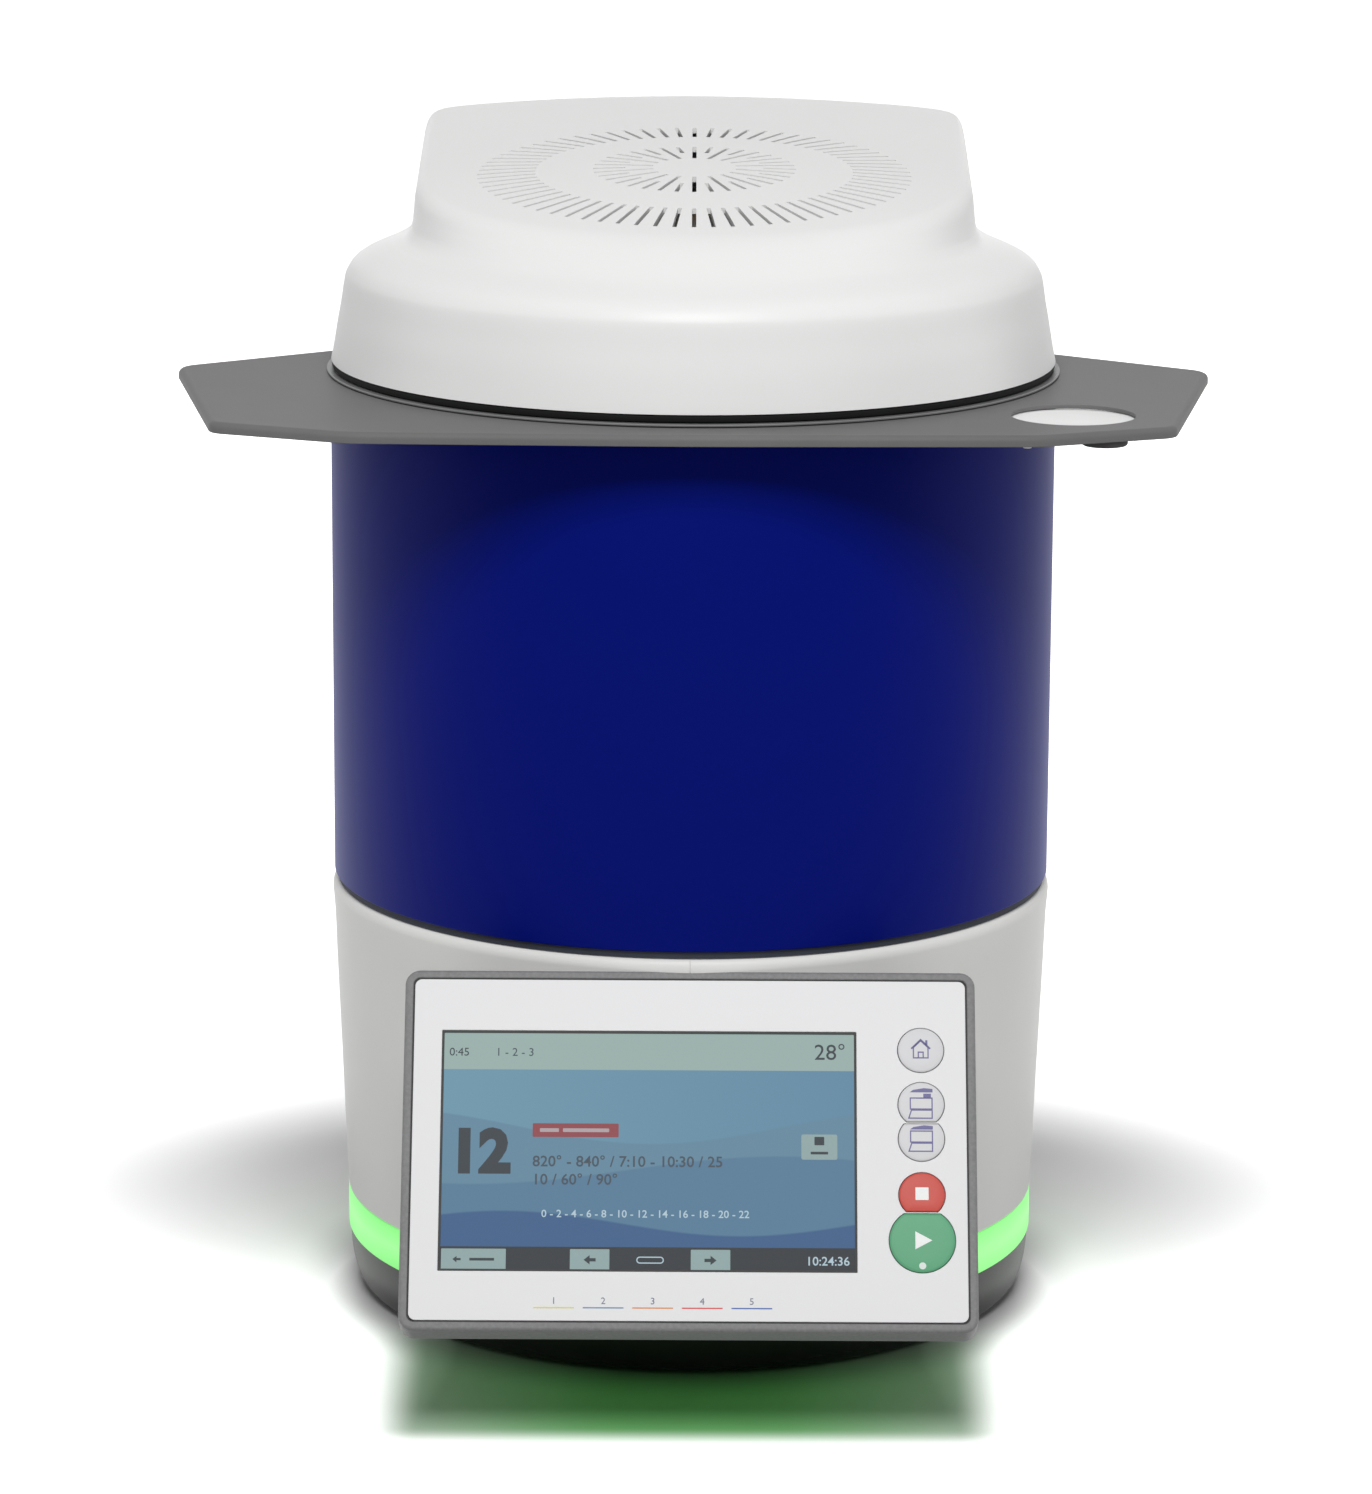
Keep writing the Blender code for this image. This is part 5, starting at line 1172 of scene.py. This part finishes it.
screen_uv = screen_tree.nodes.new("ShaderNodeUVMap")
screen_uv.uv_map = "screen"
split_uv = screen_tree.nodes.new("ShaderNodeSeparateXYZ")
screen_tree.links.new(screen_uv.outputs["UV"], split_uv.inputs[0])
screen_u, screen_v = split_uv.outputs[0], split_uv.outputs[1]
across_share = screen_math("MULTIPLY", screen_u, 0.55)
sky_blue = screen_mix(across_share, (0.16, 0.33, 0.44), (0.09, 0.22, 0.36))
first_wave = screen_mix(wave_band(0.60, 0.07, 5.0, 2.2), sky_blue, (0.130, 0.262, 0.370))
second_wave = screen_mix(wave_band(0.42, 0.06, 4.2, 4.4), first_wave, (0.095, 0.210, 0.330))
third_wave = screen_mix(wave_band(0.20, 0.05, 5.6, 0.7), second_wave, (0.042, 0.118, 0.265))
top_bar_v = 0.838
bottom_bar_v = 0.103
with_top = screen_mix(screen_math("GREATER_THAN", screen_v, top_bar_v), third_wave, (0.345, 0.465, 0.435))
with_bottom = screen_mix(screen_math("LESS_THAN", screen_v, bottom_bar_v), with_top, (0.030, 0.034, 0.038))
screen_tree.links.new(with_bottom, screen_shader.inputs["Emission Color"])

glass_t = 0.002
glass_grow = 0.0002
screen_outline = rounded_box(screen_half[0] + glass_grow, screen_half[1] + glass_grow, screen_corner, screen_at, 2)
screen = panel_piece("screen_glass", closed_stack(screen_outline, [(0.0004, screen_z - glass_t), (0.0002, screen_z)]),
                     screen_glass, "display_glass", stands_for=("display",))
screen_map = screen.data.uv_layers.new(name="screen")
into_panel = panel_frame.inverted()
screen_points = np.empty(len(screen.data.vertices) * 3)
screen_corners = np.empty(len(screen.data.loops), int)
screen.data.vertices.foreach_get("co", screen_points)
screen.data.loops.foreach_get("vertex_index", screen_corners)
in_plane = screen_points.reshape(-1, 3) @ np.array(into_panel.to_3x3()).T + np.array(into_panel.translation)
screen_uvs = (in_plane[:, :2] - screen_at) / (2 * np.array(screen_half)) + 0.5
screen_map.data.foreach_set("uv", screen_uvs[screen_corners].ravel())

screen_dark = ink("screen_dark", (0.035, 0.045, 0.055), 1.0, 0.2)
screen_grey = ink("screen_grey", (0.055, 0.075, 0.095), 1.0, 0.2)
screen_pale = ink("screen_pale", (0.42, 0.55, 0.62), 1.0, 0.2)
screen_button = ink("screen_button", (0.26, 0.36, 0.36), 1.0, 0.2)
screen_red = ink("screen_red", (0.26, 0.055, 0.065), 1.0, 0.2)
screen_ink_z = screen_z + ink_t * 1.5
screen_left = screen_at[0] - screen_half[0]
screen_low = screen_at[1] - screen_half[1]


def screen_spot(share_x, share_y):
    """A place on the screen from its shares of the screen's width and height."""
    return screen_left + share_x * 2 * screen_half[0], screen_low + share_y * 2 * screen_half[1]


def screen_number(name, text, height, share_x, share_y, look, bold=0.0, align="LEFT"):
    """Figures on the screen at a place given in shares of its size."""
    number(name, text, height, *screen_spot(share_x, share_y), screen_ink_z, look, "display_glass", bold, align)


screen_number("programme_number", "12", 0.0163, 0.022, 0.415, screen_dark, 0.0011)
screen_number("temperature_now", "28°", 0.0062, 0.975, 0.885, screen_dark, 0.0, "RIGHT")
screen_number("bar_time", "0:45", 0.0032, 0.018, 0.895, screen_dark)
screen_number("bar_steps", "1 - 2 - 3", 0.0032, 0.13, 0.895, screen_grey)
screen_number("peak_values", "820° - 840° / 7:10 - 10:30 / 25", 0.0042, 0.222, 0.435, screen_grey, 0.00006)
screen_number("hold_values", "10 / 60° / 90°", 0.0042, 0.222, 0.360, screen_grey, 0.00006)
screen_number("stage_line", "0 - 2 - 4 - 6 - 8 - 10 - 12 - 14 - 16 - 18 - 20 - 22", 0.0029, 0.245, 0.225, screen_pale,
              0.00004)
screen_number("clock", "10:24:36", 0.0034, 0.982, 0.032, screen_pale, 0.00004, "RIGHT")


def screen_bars(name, spots, look):
    """Bars on the screen, each from the shares of its centre and its half sizes."""
    groups = []
    for share_x, share_y, half_w, half_h, corner, lift_by in spots:
        x, y = screen_spot(share_x, share_y)
        groups.append(bar((x, y, screen_ink_z + lift_by), (half_w, half_h), corner))
    panel_piece(name, gathered(groups), look, "display_glass")


screen_bars("tag_bar", [(0.325, 0.585, 0.0158, 0.0026, 0.0004, 0.0)], screen_red)
screen_bars("tag_marks", [(0.262, 0.585, 0.0035, 0.0007, 0.0003, ink_t), (0.350, 0.585, 0.0085, 0.0007, 0.0003, ink_t)],
            ink("tag_pale", (0.40, 0.34, 0.36), 1.0, 0.2))
screen_bars("screen_buttons", [(0.085, 0.050, 0.0118, 0.0040, 0.0003, 0.0), (0.362, 0.050, 0.0072, 0.0040, 0.0003, 0.0),
                               (0.650, 0.050, 0.0072, 0.0040, 0.0003, 0.0),
                               (0.910, 0.520, 0.0066, 0.0048, 0.0007, 0.0)], screen_button)


def arrow(centre, size, facing, z):
    """A solid arrow: a triangle with a short shaft, pointing left or right."""
    outline = np.array([(size, 0), (0, size * 0.8), (0, size * 0.28), (-size, size * 0.28), (-size, -size * 0.28),
                        (0, -size * 0.28), (0, -size * 0.8)]) * (facing, 1)
    outline = outline if facing < 0 else outline[::-1]
    return closed_stack((outline + centre)[::-1], [(0, z - ink_t), (0, z + ink_t)])


arrow_z = screen_ink_z + ink_t
button_marks = gathered([arrow(screen_spot(0.362, 0.050), 0.0022, -1, arrow_z),
                         arrow(screen_spot(0.650, 0.050), 0.0022, 1, arrow_z),
                         arrow(screen_spot(0.045, 0.050), 0.0015, -1, arrow_z),
                         bar((*screen_spot(0.105, 0.050), arrow_z), (0.0045, 0.0005)),
                         bar((*screen_spot(0.910, 0.545), arrow_z), (0.0018, 0.0016), 0.0003),
                         bar((*screen_spot(0.910, 0.495), arrow_z), (0.0032, 0.0005), 0.0002)])
panel_piece("button_marks", button_marks, screen_dark, "display_glass")
pill = rounded_box(0.0048, 0.0011, 0.00105, screen_spot(0.506, 0.050), 6)
panel_piece("page_mark", stroke(pill, 0.0004, screen_ink_z, loop=True), screen_pale, "display_glass")

# Keys
# Five domed keys of moulded plastic behind the film's holes: home, head up, head down, stop and start. Each has
# its own travel on the board behind, so each rides on its own body, and carries a plain printed mark.
key_inks = {
    "key_home": coating("key_white", (0.68, 0.68, 0.69), 0.01, 60.0, (0.28, 0.34), 0.000005, specular=0.08),
    "key_stop": coating("key_red", (0.60, 0.098, 0.078), 0.03, 60.0, (0.28, 0.34), 0.000005, specular=0.08),
    "key_start": coating("key_green", (0.125, 0.39, 0.215), 0.03, 60.0, (0.28, 0.34), 0.000005, specular=0.08),
}
mark_violet = ink("mark_violet", (0.155, 0.145, 0.31))
mark_white = ink("mark_white", (0.86, 0.88, 0.86))
key_rise = 0.00040
key_depth = 0.0022
key_mark_z = key_rise + ink_t
for name, (radius, middle, low, high) in key_rows.items():
    outer = key_loop(radius, middle, low, high)
    centre = np.array([key_x, np.clip(middle, low, high)])
    rows = [np.column_stack([centre + (outer - centre) * share, np.full(len(outer), z)]) for share, z in
            ((1.0, -key_depth), (1.0, 0.00005), (0.985, 0.00022), (0.955, 0.00034), (0.92, key_rise),
             (0.5, key_rise), (0.0, key_rise))]
    faces = [list(f) for f in grid_faces(len(rows), len(outer))] + [list(range(len(outer)))[::-1]]
    panel_piece(name + "_dome", (np.stack(rows), faces), key_inks.get(name, key_inks["key_home"]), name + "_face",
                name + "_body", (name,))


def key_mark(name, key, groups, look):
    """A key's mark, riding on the key."""
    panel_piece(name, gathered(groups), look, key + "_face", key + "_body")


def key_path(key, path):
    """A path given round a key's own middle, moved onto the key."""
    return np.asarray(path) + (key_x, key_rows[key][1])


mark_line = 0.00046
house = [(-0.0027, -0.0030), (-0.0027, 0.0010), (0, 0.0036), (0.0027, 0.0010), (0.0027, -0.0030)]
key_mark("home_mark", "key_home", [
    stroke(key_path("key_home", house), mark_line, key_mark_z, loop=True),
    stroke(key_path("key_home", [(-0.0035, 0.0005), (0, 0.0040), (0.0035, 0.0005)]), mark_line * 1.3, key_mark_z),
    stroke(key_path("key_home", [(-0.0009, -0.0030), (-0.0009, -0.0008), (0.0009, -0.0008), (0.0009, -0.0030)]),
           mark_line, key_mark_z),
    bar((*key_path("key_home", (0.0021, 0.0028)), key_mark_z), (0.0004, 0.0010))], mark_violet)


def furnace_mark(key, lift_by):
    """A small furnace in outline: body, slanted foot, and a solid head that is up or down."""
    shell = [(-0.0040, -0.0021), (0.0040, -0.0021), (0.0040, 0.0021), (-0.0040, 0.0021)]
    foot = [(-0.0046, -0.0056), (0.0040, -0.0056), (0.0040, -0.0025), (-0.0036, -0.0025)]
    head = [(-0.0042, 0.0027), (0.0042, 0.0027), (0.0042, 0.0040), (0.0010, 0.0043), (-0.0030, 0.0036)]
    shift = np.array([0, 0.0008 - lift_by * 0.3])
    groups = [stroke(key_path(key, np.array(shell) + shift), mark_line, key_mark_z, loop=True),
              stroke(key_path(key, np.array(foot) + shift), mark_line, key_mark_z, loop=True),
              closed_stack(key_path(key, np.array(head) + shift + (0, lift_by)),
                           [(0, key_mark_z - ink_t), (0, key_mark_z + ink_t)])]
    if lift_by:
        groups.append(bar((*key_path(key, (0.0022, 0.0033)), key_mark_z), (0.0014, lift_by / 2)))
    return groups


key_mark("head_up_mark", "key_open", furnace_mark("key_open", 0.0016), mark_violet)
key_mark("head_down_mark", "key_close", furnace_mark("key_close", 0.0), mark_violet)
key_mark("stop_mark", "key_stop", [bar((*key_path("key_stop", (0, 0.0004)), key_mark_z), (0.0024, 0.0024), 0.0002)],
         mark_white)
triangle = key_path("key_start", [(-0.0026, -0.0034), (0.0036, 0), (-0.0026, 0.0034)])
key_mark("start_mark", "key_start", [closed_stack(triangle, [(0, key_mark_z - ink_t), (0, key_mark_z + ink_t)])],
         mark_white)
lamp_spot = key_path("key_start", (0, -0.0096))
lamp_r = 0.00135
lamp_stack = closed_stack(circle_loop(lamp_r, lamp_spot, 32), [(0, key_rise - ink_t), (0.0002, key_rise + ink_t * 3)])
key_mark("start_lamp", "key_start", [lamp_stack], ink("lamp_white", (0.78, 0.84, 0.80), 0.9))

# Console shell
# The wedge behind the panel, moulded in light grey plastic and screwed to the front of the lower housing. Its
# slanted front carries the bezel, and the cables of the display and the keys run through it.
console_grey = coating("console_grey", (0.52, 0.52, 0.505), 0.02, 12.0, (0.38, 0.46), 0.00002, 2200.0)

# Rear housing and rear panel
# A folded sheet cover in light grey closes the back over the lift. A satin steel panel in its window carries
# the fan, the mains inlet with its switch and fuse, the service socket and the vacuum connector.
rear_low, rear_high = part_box("rear_housing")
panel_low, panel_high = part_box("rear_panel")
rear_wall = 0.0020
rear_grey = coating("rear_grey", (0.56, 0.56, 0.55), 0.02, 10.0, (0.38, 0.46), 0.00003, 1900.0)
rear_inner = rear_half_w - rear_wall
inner_corner = rear_corner - rear_wall
rear_edge = 0.0003
cover_plan = rounded_outline([(rear_half_w, rear_front_y, 0), (rear_half_w, rear_y, rear_corner),
                              (-rear_half_w, rear_y, rear_corner), (-rear_half_w, rear_front_y, 0),
                              (-rear_inner, rear_front_y, 0), (-rear_inner, rear_y - rear_wall, inner_corner),
                              (rear_inner, rear_y - rear_wall, inner_corner), (rear_inner, rear_front_y, 0)], 14)
points, faces = closed_stack(cover_plan, [(rear_edge, rear_low[2]), (0, rear_low[2] + rear_edge),
                                          (0, rear_high[2] - rear_edge), (rear_edge, rear_high[2])])
rear_cover = make_piece("rear_cover", points, faces, rear_grey, "rear_grey", stands_for=("rear_housing",))
panel_lap = 0.0060
window = rounded_box((panel_high[0] - panel_low[0]) / 2 - panel_lap, (panel_high[2] - panel_low[2]) / 2 - panel_lap,
                     0.0040, (0, (panel_low[2] + panel_high[2]) / 2))
cut_margin = 0.01
points, faces = closed_stack(window, [(0, -rear_y - cut_margin), (0, cut_margin - rear_y)])
cutter_mesh = bpy.data.meshes.new("window_cutter")
cutter_mesh.from_pydata([(x, -z, y) for x, y, z in points], [], [list(map(int, f)) for f in faces])
cutter = bpy.data.objects.new("window_cutter", cutter_mesh)
bpy.context.scene.collection.objects.link(cutter)
opening = rear_cover.modifiers.new("window", "BOOLEAN")
opening.object = cutter
opening.solver = "EXACT"
cut_mesh = worked_out(rear_cover)
rear_cover.modifiers.clear()
rear_cover.data = cut_mesh
bpy.data.objects.remove(cutter)

# Screws at the rear
# Button-head screws of zinc-plated steel with a six-sided socket hold the panel, the fan and the mains inlet,
# and three more on each side hold the rear cover to the frame inside it.
screw_steel = coating("screw_steel", (0.42, 0.42, 0.41), 0.06, 300.0, (0.30, 0.38), 0.00001, 2500.0, metallic=0.9)
socket_share = 0.42
dome_share = 0.70
sink_share = 0.20
panel_screw_r = 0.0027
fan_screw_r = 0.0022
inlet_screw_r = 0.0018
cover_screw_r = 0.0030


def screw_head(place, outward, radius):
    """Rings (r, h) round the outward axis: a dome, r = R cos a and h = H sin a, then a six-sided socket,
    r = s / cos(t mod 60 - 30)."""
    turn = np.linspace(0, math.tau, 24, endpoint=False)
    six_sided = socket_share * radius / np.cos(turn % (math.tau / 6) - math.tau / 12)
    rise = 0.5 * radius
    swing = np.linspace(0, dome_share, 5)[:, None] * math.pi / 2
    top = rise * math.sin(dome_share * math.pi / 2)
    reach = np.concatenate([0 * turn[None], radius * np.cos(swing) + 0 * turn, [six_sided], [six_sided],
                            0 * turn[None]])
    height = np.concatenate([0 * turn[None], rise * np.sin(swing) + 0 * turn, [top + 0 * turn],
                             [sink_share * rise + 0 * turn], [sink_share * rise + 0 * turn]])
    outward = np.array(outward, float)
    beside = np.array([outward[1], -outward[0], 0])
    points = (np.array(place) + (reach * np.cos(turn))[..., None] * beside
              + (reach * np.sin(turn))[..., None] * np.array([0, 0, 1]) + height[..., None] * outward)
    return points, grid_faces(len(points), len(turn))


guard_low, guard_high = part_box("fan_guard")
inlet_low, inlet_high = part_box("power_inlet")
screw_inset = panel_lap + 0.0060
panel_screw_x = panel_high[0] - screw_inset
panel_screw_z = (panel_low[2] + screw_inset, (panel_low[2] + panel_high[2]) / 2, panel_high[2] - screw_inset)
fan_x, fan_z = (guard_low[0] + guard_high[0]) / 2, (guard_low[2] + guard_high[2]) / 2
fan_screw_at = ((guard_high[0] - guard_low[0]) / 2 + 0.0040) / math.sqrt(2)
inlet_x, inlet_z = (inlet_low[0] + inlet_high[0]) / 2, (inlet_low[2] + inlet_high[2]) / 2
inlet_screw_x = (inlet_high[0] - inlet_low[0]) / 2 - 0.0050
on_plate = panel_high[1] + gap
backwards = (0, 1, 0)
heads = [screw_head((side * panel_screw_x, on_plate, z), backwards, panel_screw_r)
         for side in (-1, 1) for z in panel_screw_z]
heads += [screw_head((fan_x + side * fan_screw_at, on_plate, fan_z + up * fan_screw_at), backwards, fan_screw_r)
          for side in (-1, 1) for up in (-1, 1)]
heads += [screw_head((inlet_x + side * inlet_screw_x, inlet_high[1] + gap, inlet_z), backwards, inlet_screw_r)
          for side in (-1, 1)]
points, faces = gathered(heads)
make_piece("panel_screws", points, faces, screw_steel, "panel_steel")
cover_screw_y = axis_y + 0.1250
cover_screw_z = (rear_low[2] + 0.0150, (rear_low[2] + rear_high[2]) / 2, rear_high[2] - 0.0150)
points, faces = gathered([screw_head((side * (rear_half_w + gap), cover_screw_y, z), (side, 0, 0), cover_screw_r)
                          for side in (-1, 1) for z in cover_screw_z])
make_piece("cover_screws", points, faces, screw_steel, "panel_steel")

# Finishes of the carried-over pieces
# The lift, the electronics and the fittings keep their CAD shapes and get the finish of the real ones: ground
# steel rods, a bronze nut and bushes, machined aluminium plates, black mouldings and bright plated parts.
bronze = coating("bronze", (0.60, 0.42, 0.20), 0.08, 90.0, (0.30, 0.42), 0.00001, 1500.0, metallic=1.0)
ground_steel = coating("ground_steel", (0.64, 0.64, 0.65), 0.04, 70.0, (0.16, 0.26), 0.000005, 2000.0, metallic=1.0)
plated_steel = coating("plated_steel", (0.36, 0.36, 0.37), 0.05, 70.0, (0.36, 0.46), 0.00001, 2000.0, metallic=0.8)
socket_black = coating("socket_black", (0.028, 0.028, 0.030), 0.12, 120.0, (0.38, 0.50), 0.00003, 1800.0)
board_green = coating("board_green", (0.018, 0.17, 0.07), 0.15, 300.0, (0.40, 0.55), 0.00003, 900.0)
plug_white = coating("plug_white", (0.82, 0.80, 0.75), 0.06, 120.0, (0.85, 0.95), 0.0003, 500.0)
carried = {
    bronze: ("guide_bush_lower_left", "guide_bush_lower_right", "guide_bush_upper_left", "guide_bush_upper_right",
             "spindle_nut", "thermocouple", "vacuum_connector"),
    ground_steel: ("guide_rod_left", "guide_rod_right", "lift_spindle", "spindle_bearing"),
    plated_steel: ("fan_guard", "usb_socket"),
    plate_metal: ("guide_plate_lower", "guide_plate_upper", "lift_crosshead", "shaft_coupling", "power_supply",
                  "rear_panel"),
    socket_black: ("power_inlet", "switch_frame", "fuse_cap", "fan_frame", "fan_rotor", "lift_motor",
                   "switch_rocker", "lift_column"),
    board_green: ("control_board", "panel_board"),
    plug_white: ("lower_insulation", "muffle_insulation", "heating_muffle"),
    cup_steel: ("heat_shield",),
    console_grey: ("panel_console",),
    strip_white: ("light_strip",),
}
for look, names in carried.items():
    for name in names:
        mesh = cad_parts[name].data
        mesh.materials.clear()
        mesh.materials.append(look)
